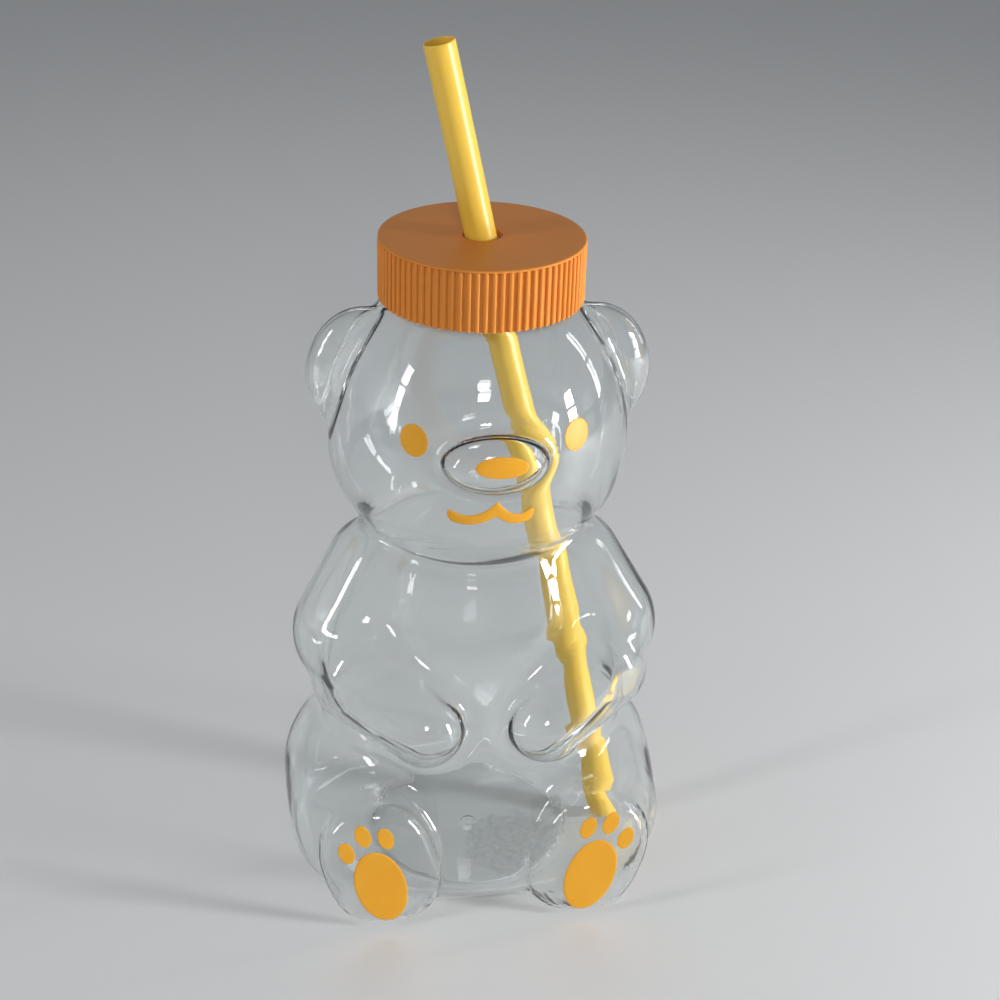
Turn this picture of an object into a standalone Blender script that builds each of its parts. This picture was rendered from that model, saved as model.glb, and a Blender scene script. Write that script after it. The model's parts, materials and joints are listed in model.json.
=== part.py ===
"""Clear bear-shaped drinking bottle with a ribbed screw lid, a seal ring, a straight straw, a round
base label and flat prints for the eyes, nose, mouth and paws. Metres, +Z up, the face towards -Y,
origin at the middle of the standing face. The bottle is one moulded shell: every height of it is a
closed ring, found on a smooth union of eggs, limbs and foot discs."""

import math

import bmesh
import bpy
import numpy as np

MM = 0.001

# Torso: an egg that narrows upwards into the head, on a wide seat
WAIST_HEIGHT = 105.5 * MM
TORSO_WIDTH = 86.0 * MM
TORSO_DEPTH = 73.6 * MM
TORSO_BACK_SHIFT = 2.2 * MM
TORSO_WIDEST = 34.0 * MM
TORSO_INTO_HEAD = 12.5 * MM
TORSO_BELOW = 80.0 * MM
TORSO_FULLNESS = 2.1
SEAT_WIDTH = 103.6 * MM
SEAT_DEPTH = 80.8 * MM
SEAT_BACK_SHIFT = 2.9 * MM
SEAT_WIDEST = 16.0 * MM
SEAT_ABOVE = 33.0 * MM
SEAT_BELOW = 42.0 * MM
SEAT_FULLNESS = 2.6
SEAT_SQUARENESS = 2.6

# Limbs: (half spread, depth, height) of each joint, and the radius of the limb there
SHOULDER = (24.5 * MM, 0.0, 88.0 * MM)
SHOULDER_RADIUS = 17.0 * MM
ELBOW = (32.3 * MM, -6.0 * MM, 74.0 * MM)
ELBOW_RADIUS = 18.0 * MM
FOREARM = (31.0 * MM, -18.5 * MM, 67.6 * MM)
FOREARM_RADIUS = 15.0 * MM
HAND = (16.2 * MM, -33.4 * MM, 58.6 * MM)
HAND_RADIUS = 10.5 * MM
HIP = (30.5 * MM, 6.0 * MM, 22.0 * MM)
HIP_RADIUS = 22.5 * MM
KNEE = (32.6 * MM, -18.0 * MM, 19.0 * MM)
KNEE_RADIUS = 19.6 * MM
FOOT_SPREAD = 57.2 * MM
FOOT_MIDDLE = 19.4 * MM
FOOT_WIDTH = 31.4 * MM
FOOT_HEIGHT = 40.2 * MM
FOOT_FULLNESS = 2.4
FOOT_LENGTH = 34.0 * MM
FOOT_LEAN = math.radians(17)
FOOT_EDGE = 4.2 * MM
SOLE_FRONT = -44.4 * MM

# Head: an egg with a tall top, disc ears and an oval muzzle
HEAD_WIDTH = 79.4 * MM
HEAD_DEPTH = 76.0 * MM
HEAD_ABOVE_WAIST = 24.5 * MM
HEAD_BELOW = 35.5 * MM
HEAD_ABOVE = 48.0 * MM
EAR_SPREAD = 63.0 * MM
EAR_RISE = 19.0 * MM
EAR_WIDTH = 27.2 * MM
EAR_HEIGHT = 34.0 * MM
EAR_THICKNESS = 14.0 * MM
EAR_LEAN = math.radians(12)
EAR_DISH_DEPTH = 1.6 * MM
EAR_RIM = 4.5 * MM
MUZZLE_WIDTH = 27.4 * MM
MUZZLE_HEIGHT = 15.8 * MM
MUZZLE_RISE = 9.3 * MM
MUZZLE_STAND = 6.8 * MM
MUZZLE_ROOT = 12.5 * MM
MUZZLE_FULLNESS = 3.4

# Fillets where the forms meet
WAIST_FILLET = 3.0 * MM
ARM_FILLET = 3.5 * MM
ELBOW_FILLET = 3.0 * MM
LEG_FILLET = 5.0 * MM
FOOT_FILLET = 5.0 * MM
SEAT_FILLET = 8.0 * MM
EAR_FILLET = 2.5 * MM
MUZZLE_FILLET = 1.6 * MM
BASE_EDGE = 5.0 * MM

# Shell and neck
WALL = 0.7 * MM
NECK_ABOVE_HEAD = 37.0 * MM
NECK_HEIGHT = 14.7 * MM
NECK_DIAMETER = 46.6 * MM
NECK_WALL = 1.5 * MM
NECK_ROUND = 0.5 * MM
LABEL_RECESS = 1.0 * MM

# Lid, seal ring and straw
PIECE_GAP = 0.3 * MM
THREAD_ROOM = 1.3 * MM
SKIRT_WALL = 1.2 * MM
SKIRT_LENGTH = 16.1 * MM
LID_TOP_WALL = 1.5 * MM
LID_EDGE = 1.1 * MM
RIB_COUNT = 80
RIB_DEPTH = 0.7 * MM
SEAL_THICKNESS = 1.0 * MM
SEAL_OVERHANG = 0.8 * MM
STRAW_DIAMETER = 8.0 * MM
STRAW_WALL = 0.45 * MM
STRAW_LENGTH = 237.3 * MM
STRAW_SIDE_GAP = 3.3 * MM
STRAW_FOOT_RISE = 1.0 * MM
STRAW_HOLE_OFFSET = 0.55 * MM
HOLE_CLEARANCE = 0.95 * MM

# Label and prints, the prints sized as they look from straight ahead
LABEL_DIAMETER = 55.2 * MM
LABEL_CLEARANCE = 1.0 * MM
LABEL_THICKNESS = 0.25 * MM
INK = 0.25 * MM
EYE_WIDTH = 6.6 * MM
EYE_HEIGHT = 7.9 * MM
EYE_SPREAD = 40.6 * MM
EYE_RISE = 13.0 * MM
NOSE_WIDTH = 13.0 * MM
NOSE_HEIGHT = 5.6 * MM
FACE_SHIFT = 0.7 * MM
NOSE_ABOVE_MUZZLE = 2.0 * MM
MOUTH_REACHES = (12.4 * MM, 9.4 * MM)
MOUTH_LOW_SHARE = 0.58
MOUTH_DROP = 3.4 * MM
MOUTH_BELOW_HEAD = 3.4 * MM
MOUTH_STROKE = 2.9 * MM
MOUTH_END = 0.35
SOLE_PAD_WIDTH = 13.8 * MM
SOLE_PAD_HEIGHT = 24.0 * MM
SOLE_PAD_OUTWARD = 0.2 * MM
SOLE_PAD_DROP = 4.3 * MM
SOLE_PAD_LEAN = math.radians(14)
TOE_WIDTH = 4.2 * MM
TOE_HEIGHT = 7.3 * MM
TOE_LEAN = math.radians(16)
TOE_PLACES = ((9.4 * MM, 7.6 * MM), (5.0 * MM, 12.9 * MM), (-1.1 * MM, 11.8 * MM))

# Mesh fineness
AROUND = 60
BODY_RINGS = 38
EDGE_RINGS = 3
FINE_STEPS = 1500
SEARCH_STEPS = 90
TINY = 1e-9
SEARCH_SHARE = 0.7
RELAX_STEPS = 7
SETTLE_STEPS = 2
PROBE = 0.05 * MM
EDGE_TURN = math.radians(45)
SHARP_ANGLE = math.radians(40)
STRAW_STEPS = 20
LABEL_STEPS = 40
PAD_STEPS = 20
EYE_STEPS = 14
TOE_STEPS = 10
MOUTH_STEPS = 18
PRINT_CORE = 0.4
CLEARNESS = 0.7

HEAD_HEIGHT = WAIST_HEIGHT + HEAD_ABOVE_WAIST
NECK_BASE = HEAD_HEIGHT + NECK_ABOVE_HEAD
RIM = NECK_BASE + NECK_HEIGHT
LID_UNDERSIDE = RIM + SEAL_THICKNESS + 2 * PIECE_GAP
LID_TOP = LID_UNDERSIDE + LID_TOP_WALL
REACH = SEAT_WIDTH


# The body as a smooth union of forms. Each form gives its distance at points (x, y, z): below 0 inside.

def blend(first, second, fillet):
    """The union of two forms with a fillet where they meet."""
    near = np.maximum(fillet - np.abs(first - second), 0) / fillet
    return np.minimum(first, second) - near * near * fillet / 4


def trim(first, second, fillet):
    """The first form where it lies outside the second, with a rounded edge."""
    return -blend(-first, second, fillet)


def egg(x, y, z, half_width, half_depth, above, below, fullness=2.0, squareness=2.0):
    """An egg about its own middle. Fullness swells its shoulders, squareness the corners of its plan."""
    half_height = np.where(z > 0, above, below)
    across, along, up = np.abs(x) / half_width, np.abs(y) / half_depth, np.abs(z) / half_height
    plan = (across**squareness + along**squareness) ** (1 / squareness) + TINY
    up = up + TINY
    size = (plan**fullness + up**fullness) ** (1 / fullness)
    flat = (plan / size) ** (fullness - 1)
    slope_x = flat * (across / plan) ** (squareness - 1) / half_width
    slope_y = flat * (along / plan) ** (squareness - 1) / half_depth
    slope_z = (up / size) ** (fullness - 1) / half_height
    return (size - 1) / np.sqrt(slope_x**2 + slope_y**2 + slope_z**2)


def limb(x, y, z, start, start_radius, end, end_radius):
    """A limb with round ends that tapers from one joint to the next."""
    run = [b - a for a, b in zip(start, end)]
    offset = [x - start[0], y - start[1], z - start[2]]
    share = sum(o * r for o, r in zip(offset, run)) / sum(r * r for r in run)
    share = np.clip(share, 0, 1)
    away = sum((o - share * r) ** 2 for o, r in zip(offset, run))
    return np.sqrt(away) - (start_radius + share * (end_radius - start_radius))


def leaned(x, z, lean):
    """(across, along) a form whose top leans to +X by this angle."""
    turn, lean = math.cos(lean), math.sin(lean)
    return x * turn - z * lean, z * turn + x * lean


def foot(x, y, z):
    """A short oval foot that points forward, with a flat sole, a rounded edge and its top leaning out."""
    across, along = leaned(x - FOOT_SPREAD / 2, z - FOOT_MIDDLE, FOOT_LEAN)
    half_width, half_height = FOOT_WIDTH / 2, FOOT_HEIGHT / 2
    oval_part = egg(across, 0 * y, along, half_width, half_width, half_height, half_height, FOOT_FULLNESS)
    oval_part = oval_part + FOOT_EDGE
    middle = SOLE_FRONT + FOOT_LENGTH / 2
    long_part = np.abs(y - middle) - (FOOT_LENGTH / 2 - FOOT_EDGE)
    outside = np.hypot(np.maximum(oval_part, 0), np.maximum(long_part, 0))
    return outside + np.minimum(np.maximum(oval_part, long_part), 0) - FOOT_EDGE


def ear(x, y, z):
    """A flat lobe whose top leans inward, with a shallow dish inside its front rim."""
    x, z = leaned(x - EAR_SPREAD / 2, z - HEAD_HEIGHT - EAR_RISE, -EAR_LEAN)
    half_width, half_height = EAR_WIDTH / 2, EAR_HEIGHT / 2
    lobe = egg(x, y, z, half_width, EAR_THICKNESS / 2, half_height, half_height)
    bowl_y = y + EAR_THICKNESS - EAR_DISH_DEPTH
    half_width, half_height = half_width - EAR_RIM, half_height - EAR_RIM
    bowl = egg(x, bowl_y, z, half_width, EAR_THICKNESS / 2, half_height, half_height)
    return trim(lobe, bowl, EAR_FILLET)


def torso(x, y, z):
    """A trunk on a wide seat, both a little behind the middle."""
    above = WAIST_HEIGHT - TORSO_WIDEST + TORSO_INTO_HEAD
    half_width, half_depth, y_trunk = TORSO_WIDTH / 2, TORSO_DEPTH / 2, y - TORSO_BACK_SHIFT
    trunk = egg(x, y_trunk, z - TORSO_WIDEST, half_width, half_depth, above, TORSO_BELOW, TORSO_FULLNESS)
    half_width, half_depth, y_seat = SEAT_WIDTH / 2, SEAT_DEPTH / 2, y - SEAT_BACK_SHIFT
    form = (half_width, half_depth, SEAT_ABOVE, SEAT_BELOW, SEAT_FULLNESS, SEAT_SQUARENESS)
    seat = egg(x, y_seat, z - SEAT_WIDEST, *form)
    return blend(trunk, seat, SEAT_FILLET)


def head(x, y, z):
    skull = egg(x, y, z - HEAD_HEIGHT, HEAD_WIDTH / 2, HEAD_DEPTH / 2, HEAD_ABOVE, HEAD_BELOW)
    skull = blend(skull, ear(x, y, z), EAR_FILLET)
    muzzle_y = y + HEAD_DEPTH / 2 + MUZZLE_STAND - MUZZLE_ROOT
    muzzle_z = z - HEAD_HEIGHT - MUZZLE_RISE
    half_width, half_height = MUZZLE_WIDTH / 2, MUZZLE_HEIGHT / 2
    muzzle = egg(x, muzzle_z, muzzle_y, half_width, half_height, MUZZLE_ROOT, MUZZLE_ROOT, MUZZLE_FULLNESS)
    return blend(skull, muzzle, MUZZLE_FILLET)


def bear(x, y, z):
    """The whole body above the floor, without its neck: both sides are the same."""
    x = np.abs(x)
    body = blend(torso(x, y, z), limb(x, y, z, HIP, HIP_RADIUS, KNEE, KNEE_RADIUS), LEG_FILLET)
    body = blend(body, foot(x, y, z), FOOT_FILLET)
    upper_arm = limb(x, y, z, SHOULDER, SHOULDER_RADIUS, ELBOW, ELBOW_RADIUS)
    forearm = limb(x, y, z, FOREARM, FOREARM_RADIUS, HAND, HAND_RADIUS)
    body = blend(body, blend(upper_arm, forearm, ELBOW_FILLET), ARM_FILLET)
    return blend(body, head(x, y, z), WAIST_FILLET)


# The body's skin. At each height rays fan out from a short level spine, longest at the flat ears. They
# crowd towards the front at the feet, hands and face, and towards the sides at the ears.

TILT_HEIGHTS = (BASE_EDGE, FOOT_MIDDLE + FOOT_EDGE, HAND[2] - HAND_RADIUS)
TILTS = (0.0, 0.4, 0.0)
EAR_MIDDLE = HEAD_HEIGHT + EAR_RISE
FAN_HEIGHTS = (0, WAIST_HEIGHT, HEAD_HEIGHT, EAR_MIDDLE, EAR_MIDDLE + EAR_HEIGHT / 3, NECK_BASE)
SPINE_SHARES = (0.3, 0.3, 0.6, 0.9, 0.75, 0.25)
FRONT_CROWDING = (0.45, 0.45, 0.5, 0.4, 0.2, 0.1)
SIDE_CROWDING = (0.15, 0.05, 0.05, 0.2, 0.2, 0.0)


def fan(heights):
    """(half of the spine, sines, cosines) of the rays at each height, counted from the face."""
    half = np.interp(heights, FAN_HEIGHTS, SPINE_SHARES) * EAR_SPREAD / 2
    steps = np.arange(AROUND) * 2 * math.pi / AROUND
    turns = steps - np.interp(heights, FAN_HEIGHTS, FRONT_CROWDING) * np.sin(steps)
    turns = turns + np.interp(heights, FAN_HEIGHTS, SIDE_CROWDING) * np.sin(2 * steps)
    return half, np.sin(turns), np.cos(turns)


def skin_rings(heights, insets):
    """Closed rings on the body at these heights, each this far inside its surface."""
    heights, insets = np.asarray(heights)[:, None], np.asarray(insets)[:, None]
    half, sine, cosine = fan(heights)
    tilt = np.interp(heights, TILT_HEIGHTS, TILTS) * (1 + cosine) / 2
    reach = np.full((len(heights), AROUND), REACH)
    for _ in range(SEARCH_STEPS):
        away = bear((half + reach) * sine, -reach * cosine, heights + reach * tilt)
        reach = reach - SEARCH_SHARE * (away + insets)
    return np.stack([(half + reach) * sine, -reach * cosine, heights + reach * tilt], axis=-1)


def normals(points):
    """Unit vectors straight out of the body's surface."""
    slopes = []
    for axis in np.eye(3):
        ahead, behind = points + PROBE * axis, points - PROBE * axis
        slopes.append(bear(*np.moveaxis(ahead, -1, 0)) - bear(*np.moveaxis(behind, -1, 0)))
    slopes = np.stack(slopes, axis=-1)
    return slopes / np.linalg.norm(slopes, axis=-1, keepdims=True)


def relaxed(rings):
    """The rings with each point slid along the surface towards its neighbours, a few times over. The first
    and last ring stay."""
    rings = np.array(rings)
    for _ in range(RELAX_STEPS):
        beside = np.roll(rings, 1, axis=1) + np.roll(rings, -1, axis=1)
        middle = (beside[1:-1] + rings[:-2] + rings[2:]) / 4
        for _ in range(SETTLE_STEPS):
            middle = middle - normals(middle) * bear(*np.moveaxis(middle, -1, 0))[..., None]
        rings[1:-1] = middle
    return rings


def round_ring(radius, height, fan_height):
    """A level circle with its points on the rays that the skin's rings have at fan_height."""
    half, sine, cosine = fan(fan_height)
    reach = np.sqrt(radius**2 - (half * sine * cosine) ** 2) - half * sine**2
    return np.stack([(half + reach) * sine, -reach * cosine, np.full(AROUND, height)], axis=-1)


def crowded(low, high, count, crowds):
    """Heights from low to high, closer together about each (height, spread, strength)."""
    fine = np.linspace(low, high, FINE_STEPS)
    density = 1 + sum(strength * np.exp(-(((fine - at) / spread) ** 2)) for at, spread, strength in crowds)
    run = np.concatenate([[0], np.cumsum((density[1:] + density[:-1]) / 2)])
    return np.interp(np.linspace(0, run[-1], count), run, fine)


def body_heights():
    """Heights above the base edge, closer together at the hands, the waist, the muzzle and the ears' tops."""
    crowds = (
        (HAND[2] - HAND_RADIUS, HAND_RADIUS, 0.8),
        (WAIST_HEIGHT, 2 * WAIST_FILLET, 1.5),
        (HEAD_HEIGHT + MUZZLE_RISE, MUZZLE_HEIGHT / 2, 2.0),
        (EAR_MIDDLE + EAR_HEIGHT / 2, 2 * EAR_FILLET, 2.5),
    )
    return crowded(BASE_EDGE, NECK_BASE - NECK_ROUND, BODY_RINGS, crowds)


def edge_steps(radius):
    """(height, inset) pairs up a quarter-round edge, without its top."""
    angles = [step * math.pi / 2 / EDGE_RINGS for step in range(EDGE_RINGS)]
    return [(radius * (1 - math.cos(a)), radius * (1 - math.sin(a))) for a in angles]


def edge_inset(height, radius):
    """How far a quarter-round edge draws the walls in at this height above its foot."""
    return radius - math.sqrt(radius**2 - max(radius - height, 0) ** 2)


def front_points(x, z, lift):
    """Points this far off the body's front, straight ahead of (x, z)."""
    y = np.full(np.shape(x), -REACH)
    for _ in range(SEARCH_STEPS):
        y = y + SEARCH_SHARE * (bear(x, y, z) - lift)
    return np.stack([x, y, z], axis=-1)


# Mesh helpers

def bridge(mesh, low, high):
    """Faces between two rings, one of which may have a whole number of times the other's points."""
    pairs = min(len(low), len(high))
    low_step, high_step = len(low) // pairs, len(high) // pairs
    for i in range(pairs):
        under = [low[(i * low_step + k) % len(low)] for k in range(low_step + 1)]
        over = [high[(i * high_step + k) % len(high)] for k in range(high_step + 1)]
        mesh.faces.new(under + over[::-1])


def fan_cap(mesh, ring, centre, upward):
    middle = mesh.verts.new(centre)
    for i, point in enumerate(ring):
        after = ring[(i + 1) % len(ring)]
        mesh.faces.new((middle, point, after) if upward else (middle, after, point))


def loft(name, rings, material, closed=False, caps="fans"):
    """An object lofted through rings that turn anticlockwise about the way they travel. A closed loft
    joins the last ring to the first; caps are fans to a ring's middle, or single faces."""
    mesh = bmesh.new()
    loops = [[mesh.verts.new(point) for point in ring] for ring in rings]
    for low, high in zip(loops, loops[1:]):
        bridge(mesh, low, high)
    if closed:
        bridge(mesh, loops[-1], loops[0])
    elif caps == "fans":
        fan_cap(mesh, loops[0], np.mean(rings[0], axis=0), False)
        fan_cap(mesh, loops[-1], np.mean(rings[-1], axis=0), True)
    else:
        mesh.faces.new(loops[0][::-1])
        mesh.faces.new(loops[-1])
    data = bpy.data.meshes.new(name)
    mesh.to_mesh(data)
    mesh.free()
    data.shade_smooth()
    data.set_sharp_from_angle(angle=SHARP_ANGLE)
    data.materials.append(material)
    made = bpy.data.objects.new(name, data)
    bpy.context.scene.collection.objects.link(made)
    return made


def circle(radius, height, count):
    angles = np.arange(count) * 2 * math.pi / count
    return np.stack([radius * np.cos(angles), radius * np.sin(angles), np.full(count, height)], axis=-1)


def plastic(name, colour, roughness, transmission=0.0):
    made = bpy.data.materials.new(name)
    made.use_nodes = True
    shader = made.node_tree.nodes["Principled BSDF"]
    shader.inputs["Base Color"].default_value = (*colour, 1)
    shader.inputs["Roughness"].default_value = roughness
    shader.inputs["Transmission Weight"].default_value = transmission
    made.diffuse_color = (*colour, 1 - CLEARNESS * transmission)
    return made


# The pieces. Left and right are as seen from the front.

SIDES = ((-1, "left"), (1, "right"))


def make_bottle(clear):
    """One shell from the middle of its base, up its outside, over the rim and down its inside."""
    recess = LABEL_DIAMETER / 2 + LABEL_CLEARANCE
    floor = LABEL_RECESS + WALL
    bore = NECK_DIAMETER / 2 - NECK_WALL
    edge = np.array(edge_steps(BASE_EDGE))
    inner_edge = np.array(edge_steps(BASE_EDGE - WALL)) + WALL
    skin = relaxed(skin_rings(body_heights(), np.zeros(BODY_RINGS)))
    outside = [*skin_rings(edge[:, 0], edge[:, 1]), *skin]
    inside = [*skin_rings(inner_edge[:, 0], inner_edge[:, 1]), *(skin - WALL * normals(skin))]
    neck = NECK_DIAMETER / 2
    root, rim_edge = NECK_BASE + 2 * NECK_ROUND, RIM - NECK_ROUND
    outer_profile = ((neck, root), (neck, rim_edge), (neck - NECK_ROUND, RIM))
    inner_profile = ((bore + NECK_ROUND, RIM), (bore, rim_edge), (bore, root))
    rings = [round_ring(recess - WALL, LABEL_RECESS, 0), round_ring(recess, 0, 0)]
    rings += list(outside)
    rings += [round_ring(radius, height, NECK_BASE) for radius, height in outer_profile + inner_profile]
    rings += list(inside[::-1])
    rings += [round_ring(recess + WALL, WALL, 0), round_ring(recess, floor, 0)]
    loft("bottle", rings, clear)


def ribbed_ring(valley, height, depth):
    """A ring of ribs: a groove between each pair of flat crests."""
    ring = circle(valley, height, 3 * RIB_COUNT)
    crest = np.arange(3 * RIB_COUNT) % 3 > 0
    ring[crest, :2] *= (valley + depth) / valley
    return ring


def make_lid(orange):
    """A screw lid: a ribbed skirt, a soft top edge, a flat top and a round hole for the straw."""
    bore = NECK_DIAMETER / 2 + THREAD_ROOM
    valley = bore + SKIRT_WALL
    hole = STRAW_DIAMETER / 2 / math.cos(straw_place()[1]) + HOLE_CLEARANCE
    plain = RIB_COUNT // 2
    shoulder = valley - LID_EDGE * (1 - math.cos(EDGE_TURN))
    rings = [
        circle(bore, -SKIRT_LENGTH, plain),
        ribbed_ring(valley, -SKIRT_LENGTH, RIB_DEPTH),
        ribbed_ring(valley, -LID_EDGE, RIB_DEPTH),
        ribbed_ring(shoulder, -LID_EDGE * (1 - math.sin(EDGE_TURN)), RIB_DEPTH / 2),
        circle(valley - LID_EDGE, 0, 3 * RIB_COUNT),
        circle(hole, 0, plain),
        circle(hole, -LID_TOP_WALL, plain),
        circle(bore, -LID_TOP_WALL, plain),
    ]
    lid = loft("lid", rings, orange, closed=True)
    lid.location.z = LID_TOP


def make_seal_ring(grey):
    """A thin flat ring between the rim and the lid."""
    inner = NECK_DIAMETER / 2 - NECK_WALL - SEAL_OVERHANG
    outer = NECK_DIAMETER / 2 + SEAL_OVERHANG
    section = ((inner, 0), (outer, 0), (outer, SEAL_THICKNESS), (inner, SEAL_THICKNESS))
    seal = loft("seal_ring", [circle(*corner, LABEL_STEPS) for corner in section], grey, closed=True)
    seal.location.z = RIM + PIECE_GAP


def straw_place():
    """(foot, lean) of the straw, which stands in the base's corner and leans through the lid's hole."""
    height = WALL + PIECE_GAP + STRAW_FOOT_RISE
    inset = WALL + edge_inset(height - WALL, BASE_EDGE - WALL)
    wall = REACH
    for _ in range(SEARCH_STEPS):
        wall -= SEARCH_SHARE * (bear(wall, 0, height) + inset)
    foot_x = wall - STRAW_DIAMETER / 2 - STRAW_SIDE_GAP
    lean = math.atan2(foot_x + STRAW_HOLE_OFFSET, LID_TOP - height)
    return (foot_x, 0, height), lean


def make_straw(yellow):
    """A straight tube with its origin on its own axis, at its foot."""
    outer, inner = STRAW_DIAMETER / 2, STRAW_DIAMETER / 2 - STRAW_WALL
    section = ((outer, 0), (outer, STRAW_LENGTH), (inner, STRAW_LENGTH), (inner, 0))
    straw = loft("straw", [circle(*corner, STRAW_STEPS) for corner in section], yellow, closed=True)
    straw.location, lean = straw_place()
    straw.rotation_euler.y = -lean


def make_label(white):
    """A round label that lies in the base's recess, clear of the floor."""
    top = LABEL_RECESS - PIECE_GAP
    rings = [circle(LABEL_DIAMETER / 2, height, LABEL_STEPS) for height in (top - LABEL_THICKNESS, top)]
    loft("base_label", rings, white, caps="faces")


def print_oval(name, middle, width, height, lean, count, ink):
    """A flat oval of ink on the body's front, its top leaning to +X."""
    angles = np.arange(count) * 2 * math.pi / count
    across, up = width / 2 * np.cos(angles), height / 2 * np.sin(angles)
    x = across * math.cos(lean) + up * math.sin(lean)
    z = up * math.cos(lean) - across * math.sin(lean)
    rings = []
    for lift, share in ((0, PRINT_CORE), (0, 1), (INK, 1), (INK, PRINT_CORE)):
        rings.append(front_points(middle[0] + share * x, middle[1] + share * z, PIECE_GAP + lift))
    loft(name, rings, ink)


def print_mouth(ink):
    """A ribbon of ink with rounded ends along two hanging arcs that meet in a cusp."""
    along = np.sin(np.linspace(-math.pi / 2, math.pi / 2, MOUTH_STEPS + 1))
    reach = np.where(along < 0, *MOUTH_REACHES)
    away = np.abs(along) / MOUTH_LOW_SHARE - 1
    z = HEAD_HEIGHT - MOUTH_BELOW_HEAD - MOUTH_DROP * (1 - away**2)
    slope = 2 * MOUTH_DROP / (MOUTH_LOW_SHARE * reach) * away
    past = 1 - (1 - np.abs(along)) * reach / (MOUTH_STROKE / 2)
    rounding = np.sqrt(1 - np.clip(past, 0, math.sqrt(1 - MOUTH_END**2)) ** 2)
    upright = MOUTH_STROKE / 2 * np.sqrt(1 + slope**2) * rounding
    corners = ((-1, INK), (-1, 0), (1, 0), (1, INK))
    x = along * reach + FACE_SHIFT
    edges = [front_points(x, z + side * upright, PIECE_GAP + lift) for side, lift in corners]
    loft("mouth_print", np.stack(edges, axis=1), ink, caps="faces")


def print_face(ink):
    for side, word in SIDES:
        eye = (FACE_SHIFT + side * EYE_SPREAD / 2, HEAD_HEIGHT + EYE_RISE)
        print_oval("eye_print_" + word, eye, EYE_WIDTH, EYE_HEIGHT, 0, EYE_STEPS, ink)
    nose = (FACE_SHIFT, HEAD_HEIGHT + MUZZLE_RISE + NOSE_ABOVE_MUZZLE)
    print_oval("nose_print", nose, NOSE_WIDTH, NOSE_HEIGHT, 0, EYE_STEPS, ink)
    print_mouth(ink)


def print_paws(ink):
    for side, word in SIDES:
        sole = (side * (FOOT_SPREAD / 2 + SOLE_PAD_OUTWARD), FOOT_MIDDLE - SOLE_PAD_DROP)
        lean = side * SOLE_PAD_LEAN
        print_oval("sole_pad_" + word, sole, SOLE_PAD_WIDTH, SOLE_PAD_HEIGHT, lean, PAD_STEPS, ink)
        for number, (out, up) in enumerate(TOE_PLACES, 1):
            toe = (side * (FOOT_SPREAD / 2 + out), FOOT_MIDDLE + up)
            name = f"toe_pad_{word}_{number}"
            print_oval(name, toe, TOE_WIDTH, TOE_HEIGHT, side * TOE_LEAN, TOE_STEPS, ink)


def main():
    for old in list(bpy.data.objects):
        bpy.data.objects.remove(old)
    make_bottle(plastic("clear_plastic", (0.95, 0.97, 0.97), 0.03, transmission=1.0))
    make_lid(plastic("orange_plastic", (0.6, 0.15, 0.03), 0.35))
    make_seal_ring(plastic("grey_foam", (0.7, 0.7, 0.68), 0.6))
    make_straw(plastic("yellow_plastic", (0.82, 0.52, 0.03), 0.3))
    make_label(plastic("frosted_film", (0.75, 0.76, 0.76), 0.5, transmission=0.3))
    ink = plastic("ochre_ink", (0.78, 0.4, 0.05), 0.45)
    print_face(ink)
    print_paws(ink)


main()
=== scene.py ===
# %% [markdown]
# A clear drinking bottle blown in the shape of a sitting bear. It has a ribbed orange screw lid with a straw
# through it, a frosted disc under its base, and yellow ink for its face and paws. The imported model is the
# fixed frame: it gives every place and size, and each cell below dresses one of its pieces. Its box is kept
# now, so that the dressed bottle can be compared with it at the end.

# %% The frame
import json
import math

import bpy
import numpy as np
from mathutils import Matrix, Vector


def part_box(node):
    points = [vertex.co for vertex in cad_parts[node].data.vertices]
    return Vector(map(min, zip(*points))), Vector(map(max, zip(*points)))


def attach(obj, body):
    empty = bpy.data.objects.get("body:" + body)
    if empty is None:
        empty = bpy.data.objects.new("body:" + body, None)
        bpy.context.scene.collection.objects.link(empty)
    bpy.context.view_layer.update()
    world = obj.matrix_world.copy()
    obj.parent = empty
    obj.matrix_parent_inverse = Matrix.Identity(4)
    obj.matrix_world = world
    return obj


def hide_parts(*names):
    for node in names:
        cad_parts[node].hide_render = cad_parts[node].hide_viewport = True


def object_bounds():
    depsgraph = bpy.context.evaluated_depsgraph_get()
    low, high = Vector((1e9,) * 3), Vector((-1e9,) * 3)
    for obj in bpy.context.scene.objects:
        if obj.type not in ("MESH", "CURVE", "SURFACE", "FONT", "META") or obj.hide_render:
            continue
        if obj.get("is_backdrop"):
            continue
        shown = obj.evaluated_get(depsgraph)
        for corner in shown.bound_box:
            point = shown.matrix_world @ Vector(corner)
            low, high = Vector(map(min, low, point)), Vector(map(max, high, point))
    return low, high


MM = 0.001

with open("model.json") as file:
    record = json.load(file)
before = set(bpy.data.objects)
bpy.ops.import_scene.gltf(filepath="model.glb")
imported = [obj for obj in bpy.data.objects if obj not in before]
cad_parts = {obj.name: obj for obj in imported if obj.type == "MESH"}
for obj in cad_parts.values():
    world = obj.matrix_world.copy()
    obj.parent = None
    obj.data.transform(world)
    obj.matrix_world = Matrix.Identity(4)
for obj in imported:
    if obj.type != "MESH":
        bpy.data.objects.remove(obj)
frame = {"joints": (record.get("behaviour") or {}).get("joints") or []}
cad_box = [list(corner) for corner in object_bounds()]

# %% [markdown]
# The camera comes first, because every later choice is judged through it. Its place was found by matching
# three things that have a known shape: the round lid, the round label and the upright outline. A camera
# could also be placed by eye, but a small error in its height would bend every ellipse. It looks down at the
# bottle from a little to the left, and it is turned by two degrees about its own axis.

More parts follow.
